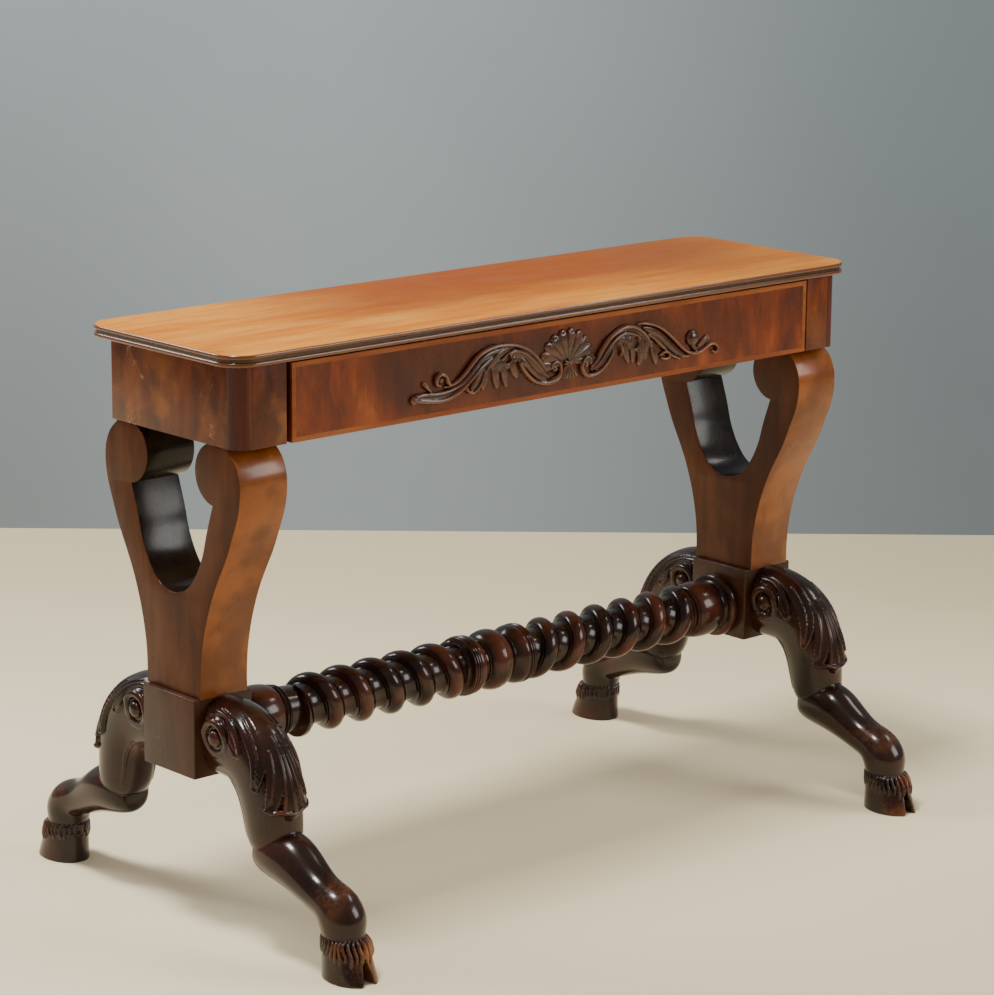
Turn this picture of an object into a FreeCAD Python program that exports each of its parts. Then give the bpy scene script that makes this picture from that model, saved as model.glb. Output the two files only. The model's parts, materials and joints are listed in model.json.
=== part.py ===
import FreeCAD, Part
import os
from math import cos, pi, radians, sin, sqrt
from FreeCAD import Vector

# Pier table: a long shallow top and one-drawer frieze carried on two lyre supports, each lyre
# standing on a block with two goat legs, and the two blocks tied by a spiral-turned stretcher.
# Millimetres. +X along the table, -Y to the front, +Z up. The origin is on the floor, midway
# between the lyres.

# ---- heights, stacked from the floor up ----
block_base_height = 219.0      # floor to the underside of a block
block_height = 112.0
lyre_height = 359.0
case_height = 113.0
top_thickness = 17.0

# ---- case (frieze) ----
case_length = 1160.0
case_depth = 279.0
case_corner_radius = 23.0      # quarter-round corner post; the stiles are as thick
end_panel_thickness = 20.0
back_board_thickness = 20.0
rail_depth = 40.0              # lower and upper front rails, front to back
lower_rail_height = 18.0
upper_rail_height = 16.0
left_stile_width = 59.0        # flat face beside the quarter round
right_stile_width = 46.0

# ---- top ----
end_overhang = 17.0
front_overhang = 13.0
back_overhang = 43.0
top_corner_radius = 40.0
top_bead_height = 6.6          # each of the two beads on the edge
top_bead_roundness = 1.8       # how far a bead falls back at its upper and lower margin
top_quirk_depth = 2.6          # groove between the beads

# ---- drawer ----
drawer_gap_left = 9.0
drawer_gap_right = 3.0
drawer_gap_top = 4.5
drawer_front_gap = 1.0         # behind the drawer front, to the rail
drawer_side_thickness = 11.0
drawer_back_thickness = 11.0
drawer_bottom_thickness = 7.0
drawer_gap_back = 15.0         # drawer to the back board
drawer_running_gap = 0.4
drawer_kicker_gap = 1.6        # over the drawer sides
drawer_groove_depth = 5.0
drawer_groove_rise = 5.0       # underside of the sides to the bottom board
dovetail_lap = 14.0
dovetail_flare = 2.6
dovetail_count = 3
edging_width = 7.0             # light lipping round the drawer front
edging_thickness = 3.0

# ---- drawer supports ----
bearer_width = 90.0
guide_width = 18.0
guide_height = 20.0
kicker_width = 44.0
corner_block_size = 26.0
glue_block_size = 18.0
glue_block_length = 60.0
glue_block_count = 5

# ---- lyre supports ----
lyre_end_inset = 42.0          # end of the case to the middle of a lyre
lyre_thickness = 81.0
lyre_base_half_width = 60.0
lyre_half_width = 149.5
lyre_scroll_radius = 44.0
lyre_scroll_offset = 97.0      # scroll centre, sideways
lyre_scroll_drop = 40.0        # scroll centre below the lyre's top
lyre_opening_height = 140.0    # lowest point of the opening above the lyre's base
lyre_opening_radius = 55.0
limb_flats = 20                # up the flared side of a lyre
top_tenon_length = 14.0        # stub tenon on each scroll, into the case
top_tenon_width = 30.0
top_tenon_thickness = 16.0
foot_tenon_length = 28.0       # tenon under the lyre, into the block
foot_tenon_width = 80.0
foot_tenon_thickness = 30.0
mortise_clearance = 0.4        # beyond the end of each tenon, and round the stretcher's

# ---- blocks and stretcher ----
block_length = 100.0           # along the table
block_depth = 114.0
block_chamfer = 1.5
stretcher_height = 267.0       # axis above the floor
tenon_radius = 14.0
tenon_length = 38.0
twist_pitch = 56.8
twist_radius = 37.3            # radius of the round bar that winds about the axis
twist_offset = 6.7             # how far its centre lies off the axis
twist_crest = 108.5            # a crest stands uppermost this far from the middle
twist_start = 66.0
right_end_length = 93.0        # block face to the twist, at the right end
left_end_length = 114.0        # the left twist runs out a little sooner
steps_per_turn = 8             # guide rings in a turn of the twist
guide_points = 8               # in a guide ring of the twist or a limb
flats_per_turn = 8             # along a turn of the twist
flats_around = 9               # round the twist and a limb
flats_round_volute = 16
flats_round_turning = 14
disc_radius = 49.0
bulb_radius = 43.5
centre_ball_radius = 45.5
centre_ball_half_length = 39.0
neck_radius = 36.0

# ---- legs ----
leg_reach = 313.0              # block face to the toe
knee_reach = 113.0             # block face to the middle of the knee
knee_height = 137.0
leg_stock = 84.0               # thickness of the plank that a leg is carved from
hoof_length = 88.0
hoof_width = 65.0
hoof_height = 52.0
cleft_width = 20.0             # at the sole
cleft_depth = 46.0
volute_radius = 27.0
volute_eye_radius = 13.0
volute_eye_proud = 3.0
leaf_thickness = 3.5
lyre_leg_gap = 0.4             # between a leg's top and the side of the lyre
dovetail_key_neck = 28.0       # sliding dovetail that holds a leg to its block
dovetail_key_flare = 4.0
dovetail_key_depth = 16.0
dovetail_key_height = 81.0

# ---- carved panel on the drawer front ----
carving_depth = 9.0
leaf_relief = 5.5
lobe_flats = 4                 # along the edge of a leaf's lobe
branch_flats = 12              # along a carved stem or leaf
shell_width = 107.0
shell_height = 68.0
shell_ribs = 9
carving_base_height = 24.0     # foot of the shell above the drawer front's lower edge

# ---- places that follow from the sizes ----
block_top = block_base_height + block_height
case_bottom = block_top + lyre_height
case_top = case_bottom + case_height
table_height = case_top + top_thickness
case_end = case_length / 2
support_centre = case_end - lyre_end_inset
block_middle = block_base_height + block_height / 2
block_inner = support_centre - block_length / 2
case_front = -lyre_half_width
case_back = case_front + case_depth
stile_back = case_front + case_corner_radius
case_inside_end = case_end - end_panel_thickness
case_inside_back = case_back - back_board_thickness
lower_rail_top = case_bottom + lower_rail_height
upper_rail_bottom = case_top - upper_rail_height
rail_back = stile_back + rail_depth
opening_left = -case_end + case_corner_radius + left_stile_width
opening_right = case_end - case_corner_radius - right_stile_width
drawer_left = opening_left + drawer_gap_left
drawer_right = opening_right - drawer_gap_right
drawer_centre = (drawer_left + drawer_right) / 2
drawer_bottom_edge = case_bottom
drawer_top_edge = case_top - drawer_gap_top
drawer_front_back = stile_back - drawer_front_gap
drawer_sides_bottom = lower_rail_top + drawer_running_gap
drawer_sides_top = upper_rail_bottom - drawer_kicker_gap
drawer_back_face = case_inside_back - drawer_gap_back
drawer_board_bottom = drawer_sides_bottom + drawer_groove_rise
drawer_board_top = drawer_board_bottom + drawer_bottom_thickness
block_side = block_depth / 2
toe_reach = block_side + leg_reach
thigh_drop = block_middle - knee_height


def box(x0, x1, y0, y1, z0, z1):
    """A board from its lowest to its highest corner."""
    return Part.makeBox(x1 - x0, y1 - y0, z1 - z0, Vector(x0, y0, z0))


def centred_box(centre, width, depth, z0, z1):
    """A board about centre (x, y), from z0 up to z1."""
    x, y = centre
    return box(x - width / 2, x + width / 2, y - depth / 2, y + depth / 2, z0, z1)


def mirrored_in_x(shape):
    return shape.mirror(Vector(0, 0, 0), Vector(1, 0, 0))


def mirrored_in_y(shape):
    return shape.mirror(Vector(0, 0, 0), Vector(0, 1, 0))


def arc(a, b, c):
    """An arc edge through three points."""
    return Part.Arc(Vector(*a), Vector(*b), Vector(*c)).toShape()


def line(a, b):
    return Part.LineSegment(Vector(*a), Vector(*b)).toShape()


def smooth(points, flats):
    """Places along a smooth line through the points, in as many steps as flats."""
    spline = Part.BSplineCurve()
    spline.interpolate([Vector(*p) for p in points])
    return spline.discretize(flats + 1)


def curve(points, flats):
    """A smooth line through the points, in short flats."""
    return Part.makePolygon(smooth(points, flats)).Edges


def flat_face(corners):
    return Part.Face(Part.makePolygon(corners + corners[:1]))


def flat_sided(rings):
    """Closed body with flat three-cornered faces between rings of as many corners."""
    count = len(rings[0])
    faces = [flat_face(rings[0]), flat_face(rings[-1])]
    for low, high in zip(rings[:-1], rings[1:]):
        for i in range(count):
            j = (i + 1) % count
            faces.append(flat_face([low[i], low[j], high[j]]))
            faces.append(flat_face([low[i], high[j], high[i]]))
    shell = Part.makeShell(faces)
    shell.sewShape()
    solid = Part.makeSolid(Part.Shell(shell.Faces))
    if solid.Volume < 0:
        solid.reverse()
    return solid


def export(node, shapes):
    """Writes one node, a single solid or a group of separate ones."""
    shapes = shapes if isinstance(shapes, list) else [shapes]
    solids = [solid for shape in shapes for solid in shape.Solids]
    whole = solids[0] if len(solids) == 1 else Part.makeCompound(solids)
    whole.exportStep("parts/" + node + ".step")


# ---------------------------------------------------------------- top and case

def top_outline(inset, height):
    """The top's plan with rounded corners, drawn in by inset."""
    x = case_end + end_overhang - inset
    y0 = case_front - front_overhang + inset
    y1 = case_back + back_overhang - inset
    r = top_corner_radius - inset
    c = r * (1 - cos(pi / 4))
    z = height
    return Part.Wire([
        line((-x + r, y0, z), (x - r, y0, z)),
        arc((x - r, y0, z), (x - c, y0 + c, z), (x, y0 + r, z)),
        line((x, y0 + r, z), (x, y1 - r, z)),
        arc((x, y1 - r, z), (x - c, y1 - c, z), (x - r, y1, z)),
        line((x - r, y1, z), (-x + r, y1, z)),
        arc((-x + r, y1, z), (-x + c, y1 - c, z), (-x, y1 - r, z)),
        line((-x, y1 - r, z), (-x, y0 + r, z)),
        arc((-x, y0 + r, z), (-x + c, y0 + c, z), (-x + r, y0, z)),
    ])


def top_layer(profile):
    """Part of the top's thickness, from (inset, height) pairs up its edge."""
    return Part.makeLoft([top_outline(inset, height) for inset, height in profile], True, True)


def bead_profile(bottom):
    """Half-round edge bead in three flats."""
    steps = [(1.0, 0.0), (0.0, 0.3), (0.0, 0.7), (1.0, 1.0)]
    return [(top_bead_roundness * fall, bottom + top_bead_height * rise)
            for fall, rise in steps]


def top_board():
    """Long thin top with rounded corners and a double bead worked on its edge."""
    lower = bead_profile(case_top)
    upper = bead_profile(table_height - top_bead_height)
    quirk = [(top_quirk_depth, case_top + top_bead_height),
             (top_quirk_depth, table_height - top_bead_height)]
    return top_layer(lower).multiFuse([top_layer(quirk), top_layer(upper)]).removeSplitter()


def corner_post():
    """Quarter-round column that turns the right front corner of the case."""
    inner = case_end - case_corner_radius
    back = case_front + case_corner_radius
    mid = case_corner_radius * (1 - cos(pi / 4))
    outline = Part.Wire([
        line((inner, back, case_bottom), (inner, case_front, case_bottom)),
        arc((inner, case_front, case_bottom),
            (case_end - mid, case_front + mid, case_bottom),
            (case_end, back, case_bottom)),
        line((case_end, back, case_bottom), (inner, back, case_bottom)),
    ])
    return Part.Face(outline).extrude(Vector(0, 0, case_height))


def end_panel():
    """Right end of the case, behind the corner post."""
    return box(case_inside_end, case_end, case_front + case_corner_radius, case_back,
               case_bottom, case_top)


def front_stile(x0, x1):
    return box(x0, x1, case_front, stile_back, case_bottom, case_top)


def kicker_middles():
    """Each kicker lies over the middle of a drawer side."""
    half = drawer_side_thickness / 2
    return drawer_left + half, drawer_right - half


def kicker(middle):
    return box(middle - kicker_width / 2, middle + kicker_width / 2, rail_back,
               case_inside_back, upper_rail_bottom, case_top)


def bearer():
    """Right bearer: sits on the lyre, joins front and back, and carries the drawer side."""
    return box(case_inside_end - bearer_width, case_inside_end, rail_back, case_inside_back,
               case_bottom, lower_rail_top)


def guide(x0):
    """Strip beside a drawer side that keeps the drawer straight."""
    return box(x0, x0 + guide_width, stile_back, case_inside_back,
               lower_rail_top, lower_rail_top + guide_height)


def triangular_block(corner, along, out, up, length):
    """Triangular glue block: its right angle runs from corner along a direction."""
    a = Vector(*corner)
    wire = Part.makePolygon([a, a + Vector(*out), a + Vector(*up), a])
    return Part.Face(wire).extrude(Vector(*along) * length)


def glue_blocks():
    """Blocks in the angle of the back board and the top, and upright ones behind the stiles."""
    size = glue_block_size
    reach = kicker_middles()[1] - kicker_width / 2 - glue_block_length
    step = 2 * reach / (glue_block_count - 1)
    blocks = []
    for i in range(glue_block_count):
        middle = i * step - reach
        blocks.append(triangular_block(
            (middle - glue_block_length / 2, case_inside_back, case_top), (1, 0, 0),
            (0, -size, 0), (0, 0, -size), glue_block_length))
    post = triangular_block(
        (case_inside_end, stile_back, lower_rail_top), (0, 0, 1),
        (-corner_block_size, 0, 0), (0, corner_block_size, 0),
        upper_rail_bottom - lower_rail_top)
    return blocks + [post, mirrored_in_x(post)]


# ---------------------------------------------------------------------- drawer

def dovetails(x0, shoulder, direction, lap):
    """The tails of one drawer side, flared away from the shoulder."""
    clear = 7.0
    pitch = (drawer_sides_top - drawer_sides_bottom - 2 * clear) / dovetail_count
    half = pitch * 0.3
    tails = []
    for i in range(dovetail_count):
        z = drawer_sides_bottom + clear + pitch * (i + 0.5)
        tip = shoulder + direction * lap
        points = [(x0, shoulder, z - half), (x0, shoulder, z + half),
                  (x0, tip, z + half + dovetail_flare), (x0, tip, z - half - dovetail_flare)]
        wire = Part.makePolygon([Vector(*p) for p in points + points[:1]])
        tails.append(Part.Face(wire).extrude(Vector(drawer_side_thickness, 0, 0)))
    return tails


def side_tails(x0):
    """Lapped tails into the front and through tails into the back."""
    back_shoulder = drawer_back_face - drawer_back_thickness
    return (dovetails(x0, drawer_front_back, -1, dovetail_lap),
            dovetails(x0, back_shoulder, 1, drawer_back_thickness))


def drawer_bottom_board():
    """Thin board that slides in grooves of the sides and front, under the back."""
    inner_left = drawer_left + drawer_side_thickness - drawer_groove_depth
    inner_right = drawer_right - drawer_side_thickness + drawer_groove_depth
    return box(inner_left, inner_right, drawer_front_back - drawer_groove_depth,
               drawer_back_face, drawer_board_bottom, drawer_board_top)


def drawer_side(x0):
    """Drawer side with its tails and the groove for the bottom board."""
    front_tails, back_tails = side_tails(x0)
    back_shoulder = drawer_back_face - drawer_back_thickness
    side = box(x0, x0 + drawer_side_thickness, drawer_front_back, back_shoulder,
               drawer_sides_bottom, drawer_sides_top)
    foot = box(x0, x0 + drawer_side_thickness, back_shoulder, drawer_back_face,
               drawer_sides_bottom, drawer_board_bottom)
    side = side.multiFuse(front_tails + back_tails + [foot]).removeSplitter()
    return side.cut(drawer_bottom_board())


def drawer_front():
    """Drawer front with sockets for the tails, the bottom groove and a rebate for the edging."""
    front = box(drawer_left, drawer_right, case_front, drawer_front_back,
                drawer_bottom_edge, drawer_top_edge)
    right_x = drawer_right - drawer_side_thickness
    front = front.cut(drawer_bottom_board())
    for x0 in (drawer_left, right_x):
        for tail in side_tails(x0)[0]:
            front = front.cut(tail)
    return front.cut(edging_ring())


def edging_ring():
    """The space of the four lipping strips."""
    back = case_front + edging_thickness
    outer = box(drawer_left, drawer_right, case_front, back, drawer_bottom_edge, drawer_top_edge)
    inner = box(drawer_left + edging_width, drawer_right - edging_width, case_front - 1, back + 1,
                drawer_bottom_edge + edging_width, drawer_top_edge - edging_width)
    return outer.cut(inner)


def drawer_edging():
    """Four lipping strips round the drawer front, mitred at the corners."""
    x0, x1 = drawer_left, drawer_right
    z0, z1 = drawer_bottom_edge, drawer_top_edge
    w = edging_width
    outlines = [
        [(x0, z0), (x1, z0), (x1 - w, z0 + w), (x0 + w, z0 + w)],
        [(x1, z0), (x1, z1), (x1 - w, z1 - w), (x1 - w, z0 + w)],
        [(x1, z1), (x0, z1), (x0 + w, z1 - w), (x1 - w, z1 - w)],
        [(x0, z1), (x0, z0), (x0 + w, z0 + w), (x0 + w, z1 - w)],
    ]
    strips = []
    for corners in outlines:
        points = [Vector(x, case_front, z) for x, z in corners + corners[:1]]
        strips.append(Part.Face(Part.makePolygon(points)).extrude(Vector(0, edging_thickness, 0)))
    return strips


def drawer_back():
    """Drawer back between the sides, on the bottom board, with sockets for the tails."""
    back_shoulder = drawer_back_face - drawer_back_thickness
    back = box(drawer_left, drawer_right, back_shoulder, drawer_back_face,
               drawer_board_top, drawer_sides_top)
    for x0 in (drawer_left, drawer_right - drawer_side_thickness):
        for tail in side_tails(x0)[1]:
            back = back.cut(tail)
        back = back.cut(box(x0, x0 + drawer_side_thickness, back_shoulder, drawer_back_face,
                            drawer_sides_bottom, drawer_board_top))
    return back


# --------------------------------------------------------------------- carving

def panel_point(across, up, proud=0.0):
    """A point on the drawer front, from the middle of its lower edge."""
    return Vector(drawer_centre + across, case_front - proud, drawer_bottom_edge + up)


def branch(stations, depth):
    """A carved stem or leaf laid along stations of (across, up, half width)."""
    spline = Part.BSplineCurve()
    spline.interpolate([Vector(*station) for station in stations])
    places = spline.discretize(branch_flats + 1)
    rims = []
    for i, place in enumerate(places):
        along = places[min(i + 1, branch_flats)] - places[max(i - 1, 0)]
        reach = place.z / sqrt(along.x ** 2 + along.y ** 2)
        rims.append([(place.x - s * along.y * reach, place.y + s * along.x * reach)
                     for s in (1, -1)])
    corners = [upper for upper, lower in rims] + [lower for upper, lower in reversed(rims)]
    return flat_face([panel_point(*c) for c in corners]).extrude(Vector(0, -depth, 0))


def curl(across, up, radius, depth):
    """A curled leaf end: a flat-topped button, bevelled round its rim."""
    rings = []
    for proud, size in ((0, radius), (depth * 0.5, radius), (depth, radius * 0.6)):
        rings.append([panel_point(across + size * cos(2 * pi * i / flats_around),
                                  up + size * sin(2 * pi * i / flats_around), proud)
                      for i in range(flats_around)])
    return flat_sided(rings)


def shell_rib(turn):
    """One rib of the shell: half round, growing from the foot to a blunt lobe."""
    foot = panel_point(0, carving_base_height)
    reach = Vector(shell_width / 2 * cos(turn), 0, shell_height * sin(turn))
    side = Vector(0, 1, 0).cross(reach)
    side.normalize()
    sections = []
    for along, half, high in ((0.06, 2.2, 0.45), (0.88, 8.2, 1.0), (1.0, 4.5, 0.6)):
        middle = foot + reach * along
        rise = Vector(0, -carving_depth * high, 0)
        sections.append([middle - side * half, middle - side * half * 0.6 + rise * 0.8,
                         middle + rise, middle + side * half * 0.6 + rise * 0.8,
                         middle + side * half])
    return flat_sided(sections)


def shell():
    """Scallop shell: ribs that fan out from its foot."""
    spread = radians(190.0)
    start = (pi - spread) / 2
    ribs = [shell_rib(start + i * spread / (shell_ribs - 1)) for i in range(shell_ribs)]
    return ribs[0].multiFuse(ribs[1:])


def carving():
    """Shell between two leafy scrolls, carved in relief and laid on the drawer front."""
    stem = branch([(26, 23, 3), (44, 30, 8), (66, 46, 12), (88, 70, 11), (116, 82, 7),
                   (148, 76, 8), (180, 62, 9), (212, 42, 8), (240, 27, 5), (268, 26, 4),
                   (292, 32, 4)], carving_depth)
    leaves = [branch([(84, 62, 6), (96, 50, 9), (112, 34, 6), (122, 28, 2)], leaf_relief),
              branch([(112, 76, 5), (126, 58, 9), (132, 42, 7), (132, 30, 2)], leaf_relief),
              branch([(150, 72, 6), (160, 56, 9), (172, 38, 7), (180, 24, 2)], leaf_relief),
              branch([(244, 30, 3), (262, 40, 5), (276, 48, 4)], leaf_relief)]
    ends = [curl(250, 50, 12, carving_depth), curl(292, 31, 7, carving_depth * 0.7)]
    arm = stem.multiFuse(leaves + ends)
    middle = Vector(drawer_centre, 0, 0)
    return arm.multiFuse([arm.mirror(middle, Vector(1, 0, 0)), shell()])


# -------------------------------------------------------------- lyres and blocks

def lyre_outline():
    """One closed outline: flared limbs, rolled scroll ends and the open middle."""
    z0 = block_top
    z1 = z0 + lyre_height
    base = lyre_base_half_width
    wide = lyre_half_width
    scroll_z = z1 - lyre_scroll_drop
    half_chord = sqrt(lyre_scroll_radius ** 2 - lyre_scroll_drop ** 2)
    cut_in = lyre_scroll_offset - half_chord
    cut_out = lyre_scroll_offset + half_chord + 5.0
    limb = [(base, z0 + 30), (base + 24, z0 + 139), (wide - 20, z0 + 232),
            (wide, z1 - 58), (wide - 8, z1 - 22), (cut_out, z1)]
    meet_angle = radians(-99)
    meet = (lyre_scroll_offset + lyre_scroll_radius * cos(meet_angle),
            scroll_z + lyre_scroll_radius * sin(meet_angle))
    bottom_z = z0 + lyre_opening_height
    centre_z = bottom_z + lyre_opening_radius
    turn = radians(-36)
    side = (lyre_opening_radius * cos(turn), centre_z + lyre_opening_radius * sin(turn))
    inner = [side, (side[0] + 20, side[1] + 34), (meet[0] - 13, meet[1] - 38), meet]
    edges = [line((0, -base, z0), (0, base, z0)), line((0, base, z0), (0, base, z0 + 30)),
             line((0, -base, z0), (0, -base, z0 + 30)),
             arc((0, -side[0], side[1]), (0, 0, bottom_z), (0, side[0], side[1]))]
    for s in (1, -1):
        edges += [
            line((0, s * cut_out, z1), (0, s * cut_in, z1)),
            arc((0, s * cut_in, z1),
                (0, s * (lyre_scroll_offset - lyre_scroll_radius), scroll_z),
                (0, s * meet[0], meet[1])),
        ]
        edges += curve([(0, s * y, z) for y, z in limb], limb_flats)
        edges += curve([(0, s * y, z) for y, z in inner], limb_flats // 2)
    return Part.Wire(Part.__sortEdges__(edges))


def top_tenon(side, extra=0.0):
    """Stub tenon on the front (-1) or back (1) scroll; extra deepens its mortise."""
    return centred_box((support_centre, side * lyre_scroll_offset), top_tenon_width,
                       top_tenon_thickness, case_bottom, case_bottom + top_tenon_length + extra)


def foot_tenon(extra=0.0):
    """Tenon under the lyre, down into its block."""
    return centred_box((support_centre, 0), foot_tenon_thickness, foot_tenon_width,
                       block_top - foot_tenon_length - extra, block_top)


def lyre():
    """Right lyre: the outline cut from thick stuff, with its tenons."""
    face = Part.Face(lyre_outline())
    face.translate(Vector(support_centre - lyre_thickness / 2, 0, 0))
    body = face.extrude(Vector(lyre_thickness, 0, 0))
    return body.multiFuse([foot_tenon(), top_tenon(-1), top_tenon(1)]).removeSplitter()


def dovetail_key(extra=0.0):
    """Sliding dovetail on the right back leg, let into the block from below."""
    neck = dovetail_key_neck / 2
    wide = neck + dovetail_key_flare
    deep = block_side - dovetail_key_depth
    x = support_centre
    z = block_base_height
    outline = [(x - neck, block_side, z), (x + neck, block_side, z),
               (x + wide, deep, z), (x - wide, deep, z)]
    wire = Part.makePolygon([Vector(*p) for p in outline + outline[:1]])
    return Part.Face(wire).extrude(Vector(0, 0, dovetail_key_height + extra))


def block():
    """Right block: mortised for the lyre and the stretcher, with a socket for each leg."""
    body = centred_box((support_centre, 0), block_length, block_depth,
                       block_base_height, block_top)
    rims = [e for e in body.Edges if abs(e.CenterOfMass.z - block_top) < 0.01]
    body = body.makeChamfer(block_chamfer, rims)
    bore = Part.makeCylinder(tenon_radius + mortise_clearance,
                             tenon_length + mortise_clearance,
                             Vector(block_inner, 0, stretcher_height), Vector(1, 0, 0))
    socket = dovetail_key(mortise_clearance)
    return cut_all(body, [bore, foot_tenon(mortise_clearance), socket, mirrored_in_y(socket)])


# ------------------------------------------------------------------- stretcher

def skin(rings, flats):
    """Closed body in flats along, that follows a smooth surface over rings of guide points."""
    degree = 3
    around = len(rings[0])
    spans = len(rings) - degree
    surface = Part.BSplineSurface()
    surface.buildFromPolesMultsKnots(
        rings, [degree + 1] + [1] * (spans - 1) + [degree + 1], [1] * (around + 1),
        [float(i) for i in range(spans + 1)], [float(i) for i in range(around + 1)],
        False, True, degree, degree)
    return flat_sided([
        [surface.value(spans * i / flats, around * j / flats_around)
         for j in range(flats_around)]
        for i in range(flats + 1)])


def guide_reach(steps):
    """Guide points of a cubic curve lie this much further out than the circle they follow."""
    return 3 / (2 + cos(2 * pi / steps))


def turned(profile):
    """Body turned about the stretcher's axis, from (x, radius) pairs along its length."""
    rings = []
    for x, radius in profile:
        corners = [Vector(x, radius * sin(2 * pi * i / flats_round_turning),
                          radius * cos(2 * pi * i / flats_round_turning))
                   for i in range(flats_round_turning)]
        rings.append(Part.makePolygon(corners + corners[:1]))
    return Part.makeLoft(rings, True, True)


def twist(end):
    """Right-hand twist up to end: a round bar whose centre winds about the axis."""
    count = int((end - twist_start) / twist_pitch * steps_per_turn + 0.5)
    radius = twist_radius * guide_reach(guide_points)
    offset = twist_offset * guide_reach(steps_per_turn)
    rings = []
    for i in range(count + 1):
        x = twist_start + (end - twist_start) * i / count
        turn = 2 * pi * (x - twist_crest) / twist_pitch
        ring = []
        for j in range(guide_points):
            around = -2 * pi * j / guide_points
            ring.append(Vector(x, offset * sin(turn) + radius * sin(around),
                               offset * cos(turn) + radius * cos(around)))
        rings.append(ring)
    return skin(rings, round((end - twist_start) / twist_pitch * flats_per_turn))


def end_turning(twist_end):
    """Disc, cove, bulb, two fillets and neck at the block end of the stretcher."""
    face = block_inner
    neck = neck_radius
    disc = disc_radius
    bulb = bulb_radius
    return turned([
        (face, disc - 8), (face - 4, disc - 8), (face - 5, disc - 3), (face - 9, disc),
        (face - 13, disc), (face - 18, disc - 4), (face - 20, neck + 1), (face - 26, neck),
        (face - 33, bulb - 4), (face - 42, bulb - 1), (face - 51, bulb), (face - 60, bulb - 1),
        (face - 69, bulb - 4), (face - 77, neck), (face - 79, neck + 2), (face - 82, neck + 2),
        (face - 84, neck - 1), (face - 86, neck + 1), (face - 89, neck + 1),
        (face - 91, neck - 1), (twist_end - 1, neck - 5)])


def centre_turning():
    """Right half of the centre ball with its neck and bead."""
    ball = centre_ball_half_length
    top = centre_ball_radius
    neck = neck_radius
    bead = (ball + 12 + twist_start) / 2
    return turned([
        (0, top), (ball * 0.3, top - 0.6), (ball * 0.6, top - 3.2), (ball * 0.85, neck + 2),
        (ball + 3, neck), (bead - 8, neck + 2), (bead - 5, top - 2), (bead, top - 1),
        (bead + 5, top - 2), (bead + 8, neck), (twist_start + 1, neck)])


def stretcher_half(end_length):
    twist_end = block_inner - end_length
    tenon = Part.makeCylinder(tenon_radius, tenon_length + 5, Vector(block_inner - 5, 0, 0),
                              Vector(1, 0, 0))
    return end_turning(twist_end).multiFuse([tenon, centre_turning(), twist(twist_end)])


def stretcher():
    """Spiral-turned rail, one piece of wood; the two twists are of opposite hand."""
    right = stretcher_half(right_end_length)
    left = mirrored_in_x(stretcher_half(left_end_length))
    whole = right.fuse(left).removeSplitter()
    whole.translate(Vector(0, 0, stretcher_height))
    return whole


# ------------------------------------------------------------------------ legs

def section(reach, height, lean, half_across, half_width, fullness):
    """Guide ring of a limb, lean degrees from level; a fuller one has squarer corners.

    A fullness of 0.707 is an ellipse.
    """
    wide = guide_reach(guide_points)
    along = Vector(0, cos(radians(lean)), sin(radians(lean))) * half_across * wide
    side = Vector(half_width * wide, 0, 0)
    middle = Vector(0, reach, height)
    ring = [(1, 0), (fullness, fullness), (0, 1), (-fullness, fullness),
            (-1, 0), (-fullness, -fullness), (0, -1), (fullness, -fullness)]
    return [middle + along * a + side * b for a, b in ring]


def limb(sections, fullness, flats):
    """Limb guided by its sections."""
    return skin([section(*s, fullness) for s in sections], flats)


def thigh(swell=0.0):
    """From the block face, over and down to the knee; swell grows it evenly."""
    half = leg_stock / 2 - leaf_thickness
    shape = [
        (0.0, 0.0, 90, 53, half - 2),
        (0.20, -0.01, 84, 54, half),
        (0.44, 0.02, 68, 54, half),
        (0.74, 0.15, 43, 49, half),
        (0.92, 0.41, 18, 42, half),
        (0.97, 0.69, 4, 38.5, half - 2),
        (0.99, 0.87, -3, 37, half - 4),
        (1.0, 1.0, -8, 30, half - 10),
    ]
    sections = [(block_side + knee_reach * out, block_middle - thigh_drop * down, lean,
                 across + swell, wide + swell) for out, down, lean, across, wide in shape]
    return limb(sections, 0.775, 9)


def shank():
    """From the knee, outward and down to the fetlock and the top of the hoof."""
    shape = [
        (1.095, -0.05, 76, 17, 17),
        (1.08, -0.05, 75, 32, 32),
        (0.94, -0.02, 72, 37, 37),
        (0.79, 0.05, 69, 36, 36),
        (0.64, 0.23, 67, 29, 32),
        (0.50, 0.40, 64, 26, 29),
        (0.36, 0.47, 48, 31, 31),
        (0.29, 0.68, 16, 33, 32),
        (0.29, 0.85, 0, 31, 30),
        (0.285, 1.02, 0, 29, 28),
    ]
    sections = [(toe_reach - (leg_reach - knee_reach) * back,
                 knee_height - (knee_height - hoof_height) * down, lean, across, wide)
                for back, down, lean, across, wide in shape]
    return limb(sections, 0.72, 12)


def hoof():
    """Hoof: wider and longer at the sole, with a cleft up the toe."""
    half = hoof_length / 2
    middle = toe_reach - half
    wide = hoof_width / 2
    body = limb([
        (middle, 0, 0, half, wide),
        (middle - 3, hoof_height * 0.3, 0, half - 3, wide - 0.5),
        (middle - 8, hoof_height * 0.7, 0, half - 7, wide - 1.5),
        (middle - 13, hoof_height + 3, 0, half - 11, wide - 2),
    ], 0.72, 4)
    front = toe_reach + 5
    v_shape = Part.makePolygon([
        Vector(-cleft_width / 2, front, -1), Vector(cleft_width / 2, front, -1),
        Vector(0, front, hoof_height * 0.9), Vector(-cleft_width / 2, front, -1)])
    return body.cut(Part.Face(v_shape).extrude(Vector(0, -cleft_depth, 0)))


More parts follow.
